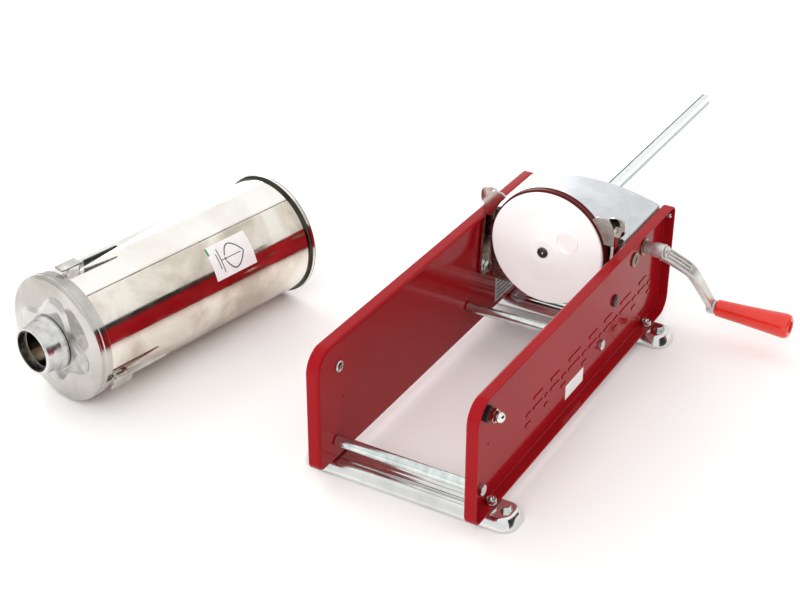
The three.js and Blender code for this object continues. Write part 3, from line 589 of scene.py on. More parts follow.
# Thick glossy powder coat: deep red with faint orange peel and mottling.
tones = fade((0.275, 0.0035, 0.007), (0.315, 0.0055, 0.010), 0.3, 0.7)
rough = (0.09, 0.15, 0.35, 0.7)
RED = surface("red_paint", (9, 3), tones, (900, 2), rough, (330, 3, 0.5), (0.00004, 0.45), IOR=1.21)

# Tumbled aluminium casting of the crank: satin, cloudy, with soft pits.
tones, rough = fade((0.56, 0.55, 0.53), (0.74, 0.73, 0.71), 0.32, 0.68), (0.26, 0.42)
SATIN = surface(
    "satin_cast", (70, 5, 0.6), tones, (140, 4), rough, (95, 3), (0.0002, 0.35), Metallic=0.75
)

# Smooth bright cold-rolled strip, a shade darker than the drawn tube.
tones, relief = fade((0.50, 0.47, 0.43), (0.62, 0.59, 0.55), 0.3, 0.7), (0.00003, 0.35)
LEVER_STEEL = surface(
    "lever_steel", (16, 3), tones, (90, 3), (0.10, 0.18), (12, 2), relief,
    stretch=(40, 40, 3), Metallic=1.0,
)

# Bright zinc plating with a faint green-blue cast and soft patches.
tones, relief = fade((0.50, 0.57, 0.56), (0.76, 0.82, 0.80), 0.32, 0.62), (0.00005, 0.4)
ZINC = surface(
    "zinc_steel", (70, 3), tones, (160, 3), (0.10, 0.24), (20, 3), relief,
    stretch=(2, 60, 60), Metallic=1.0,
)

# Bare cold-rolled sheet, warm grey, brushed and a little tarnished.
tones = [(0.3, (0.20, 0.17, 0.14)), (0.5, (0.40, 0.36, 0.31)), (0.75, (0.55, 0.51, 0.45))]
relief = (0.00008, 0.5)
PLAIN = surface(
    "plain_steel", (55, 5, 0.6), tones, (240, 3), (0.2, 0.38), (18, 3), relief,
    stretch=(60, 60, 3), Metallic=1.0,
)

# Blackened screw heads with worn, lighter high spots.
tones, rough = fade((0.035, 0.030, 0.028), (0.16, 0.14, 0.13), 0.4, 0.7), (0.45, 0.26, 0.35, 0.7)
DARK = surface(
    "dark_steel", (420, 4), tones, (420, 4), rough, (700, 2), (0.00004, 0.5), Metallic=0.85
)

# Buffed chromed casting, slightly wavy where it was ground by hand.
tones = fade((0.66, 0.65, 0.63), (0.84, 0.84, 0.83), 0.3, 0.7)
CHROME = surface(
    "chrome", (90, 4), tones, (200, 3), (0.05, 0.16), (75, 2), (0.00025, 0.4), Metallic=1.0
)

# Polished white-metal casting of the ring nut, cloudier than the drawn sheet.
tones, rough = fade((0.50, 0.50, 0.49), (0.78, 0.78, 0.77), 0.3, 0.7), (0.14, 0.32)
CAST = surface(
    "cast_metal", (60, 5, 0.6), tones, (130, 4), rough, (110, 3), (0.0003, 0.35), Metallic=1.0
)

# Pale satin sheet of the cover, clouded like bead-blasted aluminium.
tones, rough = fade((0.50, 0.53, 0.56), (0.66, 0.68, 0.70), 0.32, 0.68), (0.34, 0.5)
COVER = surface(
    "grey_sheet", (26, 6, 0.65), tones, (60, 4), rough, (1200, 2), (0.00003, 0.6), Metallic=0.55
)

# Dark red-brown rubber, wiped to a dull shine.
tones = fade((0.075, 0.004, 0.004), (0.105, 0.006, 0.006), 0.3, 0.7)
SEAL = surface(
    "seal_rubber", (120, 4), tones, (300, 3), (0.30, 0.42), (800, 2), (0.00002, 0.3), IOR=1.25
)

# Sintered bearing bronze.
tones = fade((0.24, 0.20, 0.15), (0.38, 0.33, 0.26), 0.3, 0.7)
BRONZE = surface(
    "bronze", (200, 4), tones, (400, 3), (0.28, 0.45), (900, 2), (0.00003, 0.5), Metallic=1.0
)

# Glossy orange-red moulded plastic of the crank's grip.
tones = fade((0.64, 0.018, 0.007), (0.72, 0.026, 0.010), 0.3, 0.7)
coat = {"Coat_Weight": 0.4, "Coat_Roughness": 0.05}
GRIP = surface(
    "grip_plastic", (40, 3), tones, (220, 3), (0.13, 0.24), (260, 2), (0.00006, 0.35), **coat
)

# Moulded black plastic of the spacers.
tones = fade((0.010, 0.010, 0.011), (0.022, 0.022, 0.024), 0.3, 0.7)
BLACK = surface("black_plastic", (150, 3), tones, (500, 3), (0.3, 0.5), (1100, 2), (0.00004, 0.6))

# ---------------------------------------------------------------- side plates


def plate_section():
    """(height from the web's inner face, inset of the outline) across the folded flange."""
    lip, inner = FLANGE_EDGE - 0.8, BEND - SHEET
    out = arc((WEB_INNER + BEND, BEND), BEND, 180, 270, 6)
    out += [(lip, 0.0), (FLANGE_EDGE - 0.25, 0.2), (FLANGE_EDGE, 0.75)]
    out += [(FLANGE_EDGE, SHEET - 0.75), (FLANGE_EDGE - 0.25, SHEET - 0.2), (lip, SHEET)]
    return out + arc((WEB_INNER + BEND, BEND), inner, 270, 180, 4)


def web_holes(side):
    holes = [(y, z, 3.4) for y, z, _ in TIES.values()]
    holes += [(PIVOT_Y, PIVOT_Z, 3.8), (LEVER_Y, LEVER_Z, 4.3), (IDLER_Y, IDLER_Z, 7.6), SMALL_HOLE]
    return holes + [(CRANK_Y, CRANK_Z, 9.3)] * (side > 0)


def side_plate(word, side):
    """A pressed tray: flat web, rolled bends and a flange all round, facing outward."""
    bm = bmesh.new()
    rings = []
    for out, inset in plate_section():
        points = rounded_rectangle(PLATE_Y, PLATE_Z, PLATE_CORNERS, inset)
        rings.append(ring(bm, [(side * out, y, z) for y, z in points]))
    skin(bm, rings)
    faces = [[rings[0]], [rings[-1]]]
    for y, z, radius in web_holes(side):
        rim = circle((y, z), radius)
        rims = [ring(bm, [(side * x, *p) for p in rim]) for x in (WEB_INNER, WEB_OUTER)]
        bridge(bm, *rims)
        for face, loop in zip(faces, rims):
            face.append(loop)
    for loops in faces:
        fill(bm, *loops)
    make_piece(f"plate_{word}", bm, RED, "frame", f"side_plate_{word}", sharp=50)


def relief_marks():
    """A plain raised ornament of bars and lozenges along the crank-side plate."""
    bm = bmesh.new()
    base, top = WEB_OUTER - 0.3, WEB_OUTER + 0.9
    y = 104.0
    lengths = (12, 22, 8, 22, 12, 30, 12, 22, 8, 22, 12, 30, 12, 22, 8)
    for index, length in enumerate(lengths):
        low, high = (50.0, 54.0) if index % 2 == 0 else (62.0, 66.0)
        for offset in (0.0, 12.0):
            outline = rounded_rectangle((y, y + length), (low + offset, high + offset), 1.8, 0, 5)
            slab(bm, outline, base, top, PLANE_YZ)
        y += length + 5
    make_piece("plate_relief", bm, RED, "frame", bevel=0.5)


def plate_label():
    """A small blank white label on the crank-side plate's web."""
    bm = bmesh.new()
    outline = rounded_rectangle((200.0, 245.0), (29.0, 46.5), 1.2, 0, 4)
    slab(bm, outline, WEB_OUTER + 0.02, WEB_OUTER + 0.2, PLANE_YZ)
    make_piece("plate_label", bm, LABEL_WHITE, "frame")


def inner_label():
    """A grey data label with plain bars instead of print, inside the other plate."""
    bm = bmesh.new()
    outline = rounded_rectangle((357.0, 420.0), (22.0, 66.0), 1.5, 0, 4)
    slab(bm, outline, -WEB_INNER + 0.02, -WEB_INNER + 0.2, PLANE_YZ)
    make_piece("inner_label", bm, LABEL_GREY, "frame")
    marks = bmesh.new()
    for row in range(7):
        z = 26.0 + row * 5.4
        end = 414.0 if row % 3 else 398.0
        outline = rounded_rectangle((361.0, end), (z, z + 2.2), 0.6, 0, 3)
        slab(marks, outline, -WEB_INNER + 0.2, -WEB_INNER + 0.25, PLANE_YZ)
    make_piece("inner_label_bars", marks, LABEL_INK, "frame")


for word, side in SIDES:
    side_plate(word, side)
relief_marks()
plate_label()
inner_label()

# ---------------------------------------------------------------- foot channels


FOOT_SECTION = (  # (height, inset) from the crown, down the outside, round the lip, up the inside
    (14.1, 8.2), (14.0, 7.2), (13.5, 5.9), (12.3, 4.6), (9.4, 2.9), (5.6, 1.2), (3.4, 0.45), (2.2, 0.1),
    (1.4, 0.0), (0.6, 0.2), (0.1, 0.9), (0.0, 1.8), (0.0, 6.9), (0.25, 7.4), (0.75, 7.5), (1.25, 7.4),
    (1.5, 6.9), (1.5, 3.0), (2.4, 1.9), (4.0, 2.1), (8.6, 4.4), (11.3, 6.1), (12.2, 7.6), (12.6, 9.2),
)
FOOT_CROWN = 14.09


def capsule_ridge(bm, y, half_length, half_width, height):
    """A smooth pressed ridge with faded ends, laid on the crown of a channel."""
    across, steps = 12, 40
    grid = []
    for i in range(steps + 1):
        x = half_length * math.sin(math.pi * (i / steps - 0.5))
        fade_out = math.sqrt(max(0.0, 1 - (abs(x) / half_length) ** 14))
        row = []
        for j in range(across + 1):
            t = j / across * 2 - 1
            rise = height * math.cos(math.pi * t / 2) ** 2 * fade_out
            row.append(bm.verts.new((x, y + t * half_width * max(fade_out, 0.02), FOOT_CROWN + rise)))
        grid.append(row)
    for first, second in zip(grid, grid[1:]):
        for j in range(across):
            bm.faces.new((first[j], second[j], second[j + 1], first[j + 1]))


def foot_channel(end):
    y = FOOT_Y[end]
    bm = bmesh.new()
    rings = []
    for z, inset in FOOT_SECTION:
        points = rounded_rectangle((-FOOT_HALF, FOOT_HALF), (y - 21, y + 21), 17, inset, 12)
        rings.append(ring(bm, [(u, v, z) for u, v in points]))
    skin(bm, rings)
    fill(bm, rings[0])
    fill(bm, rings[-1])
    for dy, *size in ((-8, 77.5, 3.4, 1.4), (8, 77.5, 3.4, 1.4), (0, 76.0, 2.0, 0.5)):
        capsule_ridge(bm, y + dy, *size)
    make_piece(f"foot_{end}", bm, FOOT_STEEL, "frame", f"foot_channel_{end}", sharp=60)


def foot_fastener(end, word, side):
    """A hexagon bolt up through the channel and flange, with its nut on the flange."""
    place = Matrix.Translation((side * FOOT_BOLT_X, FOOT_Y[end], 0))
    bolt = bmesh.new()
    hexagon(bolt, place, 9.0, 8.7, 12.3)
    shank = [(12.2, 0), (12.2, 3.0), (15.0, 3.0)]
    shank += threaded(15.0, 23.2, 3.0) + [(24.0, 2.1), (24.0, 0)]
    revolve(bolt, shank, place, 32)
    make_piece(f"foot_bolt_{end}_{word}", bolt, ZINC, "frame", f"foot_bolt_{end}_{word}")
    nut = bmesh.new()
    hexagon(nut, place @ spin(17 * side), 10.0, 17.5, 21.7, 3.35)
    washer = [(16.7, 3.4), (16.7, 5.6), (16.85, 5.75), (17.3, 5.75), (17.45, 5.6), (17.45, 3.4)]
    revolve(nut, washer, place, 48, closed=True)
    make_piece(f"foot_nut_{end}_{word}", nut, ZINC, "frame", f"foot_nut_{end}_{word}")


def outer_screw(end, word, side):
    """A second hexagon screw with a washer, on the channel outside the side plate."""
    place = Matrix.Translation((side * 105.5, FOOT_Y[end] + 1, 0))
    bm = bmesh.new()
    hexagon(bm, place @ spin(31), 9.0, 15.1, 18.6)
    washer = [(14.12, 0), (14.12, 6.2), (14.3, 6.4), (14.9, 6.4), (15.1, 6.2), (15.1, 0)]
    revolve(bm, washer, place, 48)
    make_piece(f"outer_screw_{end}_{word}", bm, ZINC, "frame")


# A small zinc screw head on the rear flange, in the top corner of the crank-side plate.
head = [(-457.4, 0), (-457.4, 3.2, 0.2), (-456.6, 3.3, 0.6), (-455.3, 2.2, 1.0), (-455.0, 0)]
lathe("corner_screw", head, along((0, -1, 0), (88.5, 0, 137.0)), 40, ZINC, "frame")
for end in FOOT_Y:
    foot_channel(end)
    for word, side in SIDES:
        foot_fastener(end, word, side)
        outer_screw(end, word, side)

# ---------------------------------------------------------------- tie rods and pivot screws


def tie_rod(end):
    y, z, radius = TIES[end]
    half = WEB_INNER - 0.3
    corner = radius - 1.0
    profile = [(-half + 11, 0), (-half + 11, 3.4), (-half, 3.4), (-half, corner), (-half + 1, radius)]
    profile += [(-half + 1 + (2 * half - 2) * i / 24, radius) for i in range(1, 25)]
    profile += [(half, corner), (half, 3.4), (half - 11, 3.4), (half - 11, 0)]
    lathe(f"tie_{end}", profile, crosswise(y, z), 48, ZINC, "frame", f"tie_rod_{end}")


def tie_bolt(end, word, side):
    y, z, _ = TIES[end]
    place = crosswise(y, z, side)
    bm = bmesh.new()
    hexagon(bm, place @ spin(11), 11.0, WEB_OUTER + 0.9, WEB_OUTER + 4.5)
    collar = ((0.3, 0), (0.3, 5.1), (0.9, 5.1), (0.9, 0))
    revolve(bm, [(WEB_OUTER + rise, radius) for rise, radius in collar], place, 48)
    shank = [(69.2, 0), (69.2, 2.4)] + threaded(70.0, 80.0, 3.1) + [(83.5, 3.1), (83.5, 0)]
    revolve(bm, shank, place, 32)
    make_piece(f"tie_bolt_{end}_{word}", bm, ZINC, "frame", f"tie_bolt_{end}_{word}")


def pan_head(word, side):
    """The pivot screw: a pan head with a cross recess inside the plate, and its thread outside."""
    profile = [(77.1, 0), (77.15, 3.4, 2.5), (78.6, 6.1, 1.6), (80.4, 6.2, 0.3), (80.7, 6.0)]
    profile += [(80.7, 3.5), (84.0, 3.5)] + threaded(84.0, 100.6, 3.5) + [(101.5, 2.6), (101.5, 0)]
    node = f"pivot_screw_{word}"
    screw = lathe(node + "_look", profile, crosswise(PIVOT_Y, PIVOT_Z, side), 48, ZINC, "frame", node)
    low, high = sorted((side * 76.5, side * 79.0))
    for across, tall in ((3.1, 0.75), (0.75, 3.1)):
        corners = ((-across, -tall), (across, -tall), (across, tall), (-across, tall))
        slot = bmesh.new()
        slab(slot, [(PIVOT_Y + u, PIVOT_Z + v) for u, v in corners], low, high, PLANE_YZ)
        cut_from(screw, slot)


def pivot_stack(word, side):
    """Spacer, nut and dome nut on the pivot screw outside the plate."""
    place = crosswise(PIVOT_Y, PIVOT_Z, side)
    spacer = [(83.3, 3.8, 0.3), (83.3, 8.5, 0.8), (89.3, 8.5, 0.8), (89.3, 3.8, 0.3)]
    node = f"pivot_spacer_{word}"
    lathe(f"spacer_{word}", spacer, place, 64, BLACK, "frame", node, closed=True)
    nut = bmesh.new()
    hexagon(nut, place @ spin(8), 13.0, 89.6, 94.3, 3.8)
    make_piece(f"pivot_nut_{word}_look", nut, ZINC, "frame", f"pivot_nut_{word}")
    dome = bmesh.new()
    hexagon(dome, place @ spin(20), 11.8, 94.7, 97.2, 3.8)
    ball = [(97.4 + a, b) for b, a in arc((0, 0), 6.0, 0, 81, 9)]
    revolve(dome, [(101.8, 0), (101.8, 3.8), (96.8, 3.8), (96.8, 5.7), *ball, (103.4, 0)], place, 48)
    make_piece(f"dome_{word}", dome, CHROME, "frame", f"pivot_dome_nut_{word}")


for end in TIES:
    tie_rod(end)
    for word, side in SIDES:
        tie_bolt(end, word, side)
for word, side in SIDES:
    pan_head(word, side)
    pivot_stack(word, side)

# ---------------------------------------------------------------- locking levers

CLAW_R = 72.1


def lever_blade(bm, side):
    rise = [(10.4, 104), (9, 121), (8.6, 170)]
    fall = [(-2, 175), (-4.6, 171), (-4.7, 150), (-9, 121), (-10.4, 104)]
    outline = arc((LEVER_Y, LEVER_Z), 11, 175, 360, 24)
    outline += [(LEVER_Y + dy, z) for dy, z in rise]
    outline += arc((LEVER_Y + 4.6, 174), 4, 0, 90, 5)
    outline += [(LEVER_Y + dy, z) for dy, z in fall]
    low, high = sorted((side * 76.0, side * 79.0))
    slab(bm, outline, low, high, PLANE_YZ, [circle((LEVER_Y, LEVER_Z), 4.35)])


def lever_claw(bm, side):
    """The flange that reaches across the cylinder's rim, hollowed to clear the piston."""
    start, end = (math.degrees(math.asin(x / CLAW_R)) for x in (23.8, 50))
    edge = [(52.0, 184.9), (56.8, 188.6, 2.5), (69.8, 189.7, 5.0), (77.0, 177.0, 5.0)]
    edge += [(79.0, 170.0), (79.0, 158.6)]
    outline = arc((0, AXIS_Z), CLAW_R, start, end, 18) + softened(edge)[1:]
    slab(bm, [(side * x, z) for x, z in outline], LEVER_Y - 4.7, LEVER_Y - 1.7, PLANE_XZ)


def lever_pad(bm, side):
    """A dished oval tab for the thumb, bent out over the plate's flange."""
    centre = Vector((side * 76.5, LEVER_Y + 5.5, 177.0))
    rows_out, count, half_x, half_z = 8, 48, 10.4, 10.8
    faces = []
    for face, depth, crown in ((-1, 1.1, 1.2), (1, 0.5, 0.3)):
        rows = [ring(bm, [centre + Vector((0, face * 1.5 + crown, 0))])]
        for k in range(1, rows_out + 1):
            t = k / rows_out
            sink = depth * (1 - t * t)
            points = []
            for i in range(count):
                x, z = math.cos(TURN * i / count), math.sin(TURN * i / count)
                wide = t * (abs(x) ** 3 + abs(z) ** 3) ** (-1 / 3)
                spot = (half_x * wide * x, face * 1.4 + sink, half_z * wide * z)
                points.append(centre + Vector(spot))
            rows.append(ring(bm, points))
        skin(bm, rows)
        faces.append(rows[-1])
    bridge(bm, *faces)


def lever(word, side):
    blade = bmesh.new()
    lever_blade(blade, side)
    lever_claw(blade, side)
    lever_pad(blade, side)
    node = f"lever_{word}"
    make_piece(node + "_look", blade, LEVER_STEEL, node, node, bevel=0.5)
    place = crosswise(LEVER_Y, LEVER_Z, side)
    pin = [(71.0, 0), (71.0, 3.6, 0.4), (72.0, 4.0), (83.3, 4.0), (83.3, 7.0, 0.3)]
    pin += [(85.4, 7.0, 1.2), (86.6, 4.2, 1.0), (86.6, 0)]
    lathe(f"lever_pivot_{word}_look", pin, place, 48, DARK, "frame", f"lever_pivot_{word}")
    nut = bmesh.new()
    hexagon(nut, place @ spin(24), 12.0, 71.7, 75.6, 4.35)
    make_piece(f"lever_nut_{word}_look", nut, ZINC, "frame", f"lever_nut_{word}")


for word, side in SIDES:
    lever(word, side)

# ---------------------------------------------------------------- gearbox shell


def cover_arc(inset):
    half = WEB_INNER - 0.3 - inset
    rise = COVER_TOP - COVER_SHOULDER
    radius = (WEB_INNER**2 + rise**2) / (2 * rise) - inset
    sweep = math.degrees(math.asin(half / radius))
    return arc((0, COVER_TOP - inset - radius), radius, 90 - sweep, 90 + sweep, 40)


def gearbox_cover():
    """The arched sheet over the gears, with rounded shoulders, skirts and soft rims."""
    outer = cover_arc(0)
    inner = cover_arc(COVER_SHEET)
    wall, shoulder = 80.7, COVER_SKIRT + 2.0
    outline = [(wall, COVER_SKIRT)]
    outline += softened([(wall, shoulder), (*outer[0], 1.6), outer[2]], steps=5)[1:-1]
    outline += outer[2:-2]
    outline += softened([outer[-3], (*outer[-1], 1.6), (-wall, shoulder)], steps=5)[1:-1]
    outline += [(-wall, COVER_SKIRT), (-wall + COVER_SHEET, COVER_SKIRT)]
    outline += [*reversed(inner), (wall - COVER_SHEET, COVER_SKIRT)]
    bm = bmesh.new()
    slab(bm, outline, *COVER_Y, PLANE_XZ)
    make_piece("cover", bm, COVER, "frame", "gearbox_cover", bevel=0.45)


def bush(name, node, side, y, z, bore, wall, flange):
    profile = [(79.0, bore, 0.3), (79.0, wall, 0.4), (83.3, wall), (83.3, flange, 0.3)]
    profile += [(85.0, flange, 0.6), (85.0, bore, 0.4)]
    lathe(name, profile, crosswise(y, z, side), 64, BRONZE, "frame", node, closed=True)


gearbox_cover()
refined("gearbox_wall_front", "wall_front", PLAIN, "frame")
refined("gearbox_wall_rear", "wall_rear", PLAIN, "frame")
refined("bearing_plate_inner", "bearing_plate", PLAIN, "frame")
refined("rack_guide", "rack_guide_block", WHITE, "frame", 0.6)
bush("bush_crank", "crank_bush", 1, CRANK_Y, CRANK_Z, 6.3, 9.0, 10.2)
for word, side in SIDES:
    bush(f"bush_idler_{word}", f"idler_bush_{word}", side, IDLER_Y, IDLER_Z, 5.3, 7.3, 8.5)

# ---------------------------------------------------------------- gears, shafts and rack

profile = [(43, 0), (43, 5.4, 0.4), (44, 6.0), (85.5, 6.0), (85.5, 7.5, 0.4), (96.0, 7.5, 0.4)]
profile += [(96.0, 5.5), (109.6, 5.5), (111.3, 4.6), (111.3, 0)]
lathe("crank_shaft_look", profile, crosswise(CRANK_Y, CRANK_Z), 64, SATIN, "crank", "crank_shaft")
profile = [(-84.5, 0), (-84.5, 4.3), (-83.8, 5.0), (83.8, 5.0), (84.5, 4.3), (84.5, 0)]
place = crosswise(IDLER_Y, IDLER_Z)
lathe("idler_shaft_look", profile, place, 48, DARK, "idler", "idler_shaft", slot="plain_steel")
refined("crank_pinion", "pinion_crank", PLAIN, "crank", 0.25)
refined("idler_wheel", "wheel_idler", PLAIN, "idler", 0.25)
refined("rack_pinion", "pinion_rack", PLAIN, "idler", 0.25)
refined("rack", "rack_bar", RACK_ZINC, "piston", 0.8)

# ---------------------------------------------------------------- piston


def cut_turned(piece, profile, place, segments):
    cutter = bmesh.new()
    revolve(cutter, profile, place, segments)
    cut_from(piece, cutter)


def piston():
    face = [(DISC_FRONT, 3.3, 0.3), (DISC_FRONT, 14.0, 6.0), (312.2, 40.0, 14.0), (314.9, 65.6, 1.4)]
    face += [(316.0, DISC_R, 0.6), (319.25, DISC_R, 0.3), (319.25, 3.3, 0.2)]
    options = {"closed": True, "steps": 6, "sharp": 40}
    disc = lathe("piston_face", face, PISTON, 128, WHITE, "piston", "piston_disc", **options)
    cut_turned(disc, [(300, 0), (300, 12.35), (314.2, 12.35), (314.2, 0)], VALVE, 64)
    cut_turned(disc, [(310, 0), (310, 2.9), (321, 2.9), (321, 0)], VALVE, 32)
    lip = [(319.55, 3.3), (319.55, 68.0, 0.5), (320.8, 69.2, 0.8), (323.6, 68.4, 2.0)]
    lip += [(326.2, 68.4, 2.0), (328.0, 69.2, 0.8), (329.25, 68.0, 0.5), (329.25, 3.3)]
    lathe("piston_seal_look", lip, PISTON, 128, SEAL, "piston", "piston_seal", closed=True)
    back = [(329.55, 3.3), (329.55, 60.0, 0.5), (332.25, 60.0, 0.5), (332.25, 3.3)]
    lathe("piston_plate", back, PISTON, 96, PLAIN, "piston", "piston_back_plate", closed=True)


def piston_screw():
    """A low round head with a socket, and a shank into the rack."""
    head = [(305.4, 0), (305.4, 1.9), (304.45, 2.3, 0.2), (304.35, 3.9, 0.8), (305.6, 6.1, 0.7)]
    head += [(306.9, 6.4, 0.2), (306.95, 6.2), (306.95, 3.0), (347.0, 3.0), (347.3, 2.4), (347.3, 0)]
    lathe("screw_head", head, PISTON, 48, DARK, "piston", "piston_screw")
    # Painted highlight: a bright chrome dot in the middle of the dark screw head stands for its glint.
    glint = [(305.3, 0), (304.95, 0.7), (305.2, 1.5), (305.6, 1.75), (305.6, 0)]
    lathe("screw_centre", glint, PISTON, 24, CHROME, "piston", slot="dark_steel")


def air_valve():
    slope = (315.75 - DISC_FRONT - 1) / DISC_R
    face = DISC_FRONT + 1 + slope * (math.hypot(VALVE_X, VALVE_Z - AXIS_Z) - 12)
    profile = [(face + 0.4, 0), (face + 0.4, 12.0, 0.9), (face + 2.6, 12.0, 0.3), (face + 2.6, 2.6)]
    profile += [(335.7, 2.6), (335.7, 4.6, 0.2), (337.2, 4.6, 0.4), (337.2, 0)]
    lathe("air_valve_look", profile, VALVE, 64, WHITE, "air_valve", "air_valve", steps=5)


piston()
piston_screw()
air_valve()

# ---------------------------------------------------------------- crank


ARM_PATH = [(105.0, -3.5), (112.0, -6.5), (128.0, -19.0), (136.5, -29.0)]
ARM_PATH += [(141.0, -43.0), (145.4, -62.0), (152.4, -93.0)]
GROOVES = (-4.3, 0.0, 4.3)
HUB_PLACE = along((1, 0, 0), (0, 0, 0))
GRIP_PLACE = along((1, 0, 0), (0, 0, -CRANK_THROW))


def smooth_path(points, steps):
    """Points along a Catmull-Rom curve through a few given ones."""
    out = []
    padded = [points[0], *points, points[-1]]
    for i in range(1, len(padded) - 2):
        a, b, c, d = (Vector(p) for p in padded[i - 1 : i + 3])
        bend, twist = 2 * a - 5 * b + 4 * c - d, 3 * b - a - 3 * c + d
        for t in (step / steps for step in range(steps)):
            out.append(0.5 * ((2 * b) + (c - a) * t + bend * t**2 + twist * t**3))
    out.append(Vector(points[-1]))
    return out


def arm_section(width, thick, depth):
    """(across, outward) points of the arm's section, three grooves cut in its outer face."""
    corners = [(-width, -thick, 2.2), (width, -thick, 2.2), (width, thick, 2.6), (-width, thick, 2.6)]
    outline = [tuple(p) for p in softened(corners, closed=True, steps=6)]
    top = [x for x, out in outline if out > thick - 1e-4]
    low, high = min(top), max(top)
    samples = 36
    grooved = []
    for x in (high + (low - high) * i / samples for i in range(1, samples)):
        cut = sum(math.exp(-(((x - c) / 1.05) ** 4)) for c in GROOVES)
        grooved.append((x, thick - depth * min(1.0, cut)))
    third_corner = 7 * 3
    return outline[:third_corner] + grooved + outline[third_corner:]


def crank_arm():
    """The swept arm with its hub and grip boss, and dark strips in the beds of its three grooves as
    painted shade.
    """
    arm, dark = bmesh.new(), bmesh.new()
    path = smooth_path(ARM_PATH, 9)
    total = len(path) - 1
    rings = []
    beds = [[] for _ in GROOVES]
    for i, here in enumerate(path):
        ahead = (path[min(i + 1, total)] - path[max(i - 1, 0)]).normalized()
        outward = Vector((-ahead.y, ahead.x))
        t = i / total
        half_width, half_thick = 8.5 - 2.2 * t, 4.7 - 0.5 * t
        fade_in, fade_out = (max(0.0, min(1.0, f)) for f in ((t - 0.10) / 0.05, (0.47 - t) / 0.06))
        depth = 1.1 * fade_in * fade_out

        def loop(bm, section):
            spots = [(here + outward * out, across) for across, out in section]
            return ring(bm, [(spot.x, across, spot.y) for spot, across in spots])

        rings.append(loop(arm, arm_section(half_width, half_thick, depth)))
        # Painted shade: a dark strip in the bed of each groove, in the weld steel's dark tone.
        if depth > 0.7:
            low, high = half_thick - depth - 0.2, half_thick - depth + 0.35
            for c, bed in zip(GROOVES, beds):
                corners = ((-1.0, low), (1.0, low), (1.0, high), (-1.0, high))
                bed.append(loop(dark, [(c + across, out) for across, out in corners]))
    skin(arm, rings, capped=True)
    for bed in beds:
        skin(dark, bed, capped=True)
    make_piece("arm_groove_shade", dark, WELD_STEEL, "crank", slot="chrome", place=CRANK)
    hub = [(96.3, 5.8), (96.3, 8.6, 0.8), (103.0, 8.7, 1.0), (109.3, 8.5, 1.6), (109.3, 5.8)]
    revolve(arm, softened(hub, closed=True), HUB_PLACE, 64, closed=True)
    boss = [(148.3, 4.3), (148.3, 8.0, 1.4), (151.0, 8.6, 1.0), (157.4, 8.6, 1.4), (158.3, 7.4, 0.6)]
    revolve(arm, softened([*boss, (158.3, 4.3)], closed=True), GRIP_PLACE, 64, closed=True)
    make_piece("crank_arm_look", arm, SATIN, "crank", "crank_arm", sharp=50, place=CRANK)


def crank_nut():
    dome = [(111.7, 0), (111.7, 5.8), (109.6, 5.8), (109.6, 7.2, 0.4), (111.6, 7.2, 1.4)]
    dome += [(113.2, 5.8, 2.0), (113.9, 0)]
    lathe("crank_nut_look", dome, CRANK @ HUB_PLACE, 48, SATIN, "crank", "crank_nut", steps=5)


def grip():
    """The tapered grip and the headed pin it turns on."""
    place = CRANK @ GRIP_PLACE
    outside = [(158.6, 4.3, 0.2), (158.6, 8.6, 0.8), (160.4, 10.0, 1.0), (190.0, 11.3, 30.0)]
    outside += [(220.0, 13.2, 30.0), (235.0, 14.2, 12.0), (241.0, 14.5, 4.0), (245.2, 13.0, 2.4)]
    outside += [(247.0, 10.2, 1.6), (246.4, 7.0, 0.8), (240.2, 6.6, 0.4), (240.2, 4.3, 0.1)]
    lathe("grip_look", outside, place, 72, GRIP, "grip", "grip", closed=True, steps=6)
    pin = [(146.4, 0), (146.4, 3.4, 0.3), (147.1, 4.0), (240.4, 4.0), (240.4, 6.2, 0.3)]
    pin += [(243.0, 6.2, 0.8), (244.0, 4.6, 0.8), (244.0, 1.5), (243.2, 1.2), (243.2, 0)]
    lathe("grip_pin_look", pin, place, 40, ZINC, "crank", "grip_pin")


crank_arm()
crank_nut()
grip()

# ---------------------------------------------------------------- filling cylinder


def tube():
    """The drawn tube with a rolled bead round its open end and a flattened weld along it."""
    front, bead = -324.0, -9.0
    wall = [(front, 69.5), (front, TUBE_OUTER), (bead, TUBE_OUTER, 2.0), (-7.4, 71.6, 1.0)]
    wall += [(-6.2, 73.2, 1.0), (-4.2, 74.2, 1.2), (-1.4, 74.1, 1.2), (-0.1, 72.6, 1.2)]
    wall += [(0.0, 70.6, 0.6), (-1.0, 69.5, 0.6)]
    profile = softened(wall, closed=True, steps=5)
    outer_from = next(i for i, p in enumerate(profile) if p.y > 70.6)
    extra = [Vector((front + (bead - front) * k / 24, TUBE_OUTER)) for k in range(1, 24)]
    profile = profile[: outer_from + 1] + extra + profile[outer_from + 1 :]

    def seam(position, radius, angle):
        away = abs((math.degrees(angle) - WELD_ANGLE + 180) % 360 - 180)
        flat = math.exp(-((away / 1.6) ** 2)) * 0.15
        return radius - flat if -322 < position < bead and radius > 70 else radius

    bm = bmesh.new()
    revolve(bm, profile, TUBE, 180, closed=True, radius_at=seam)
    make_piece("tube", bm, TUBE_STEEL, "cylinder", "cylinder_tube", sharp=50)


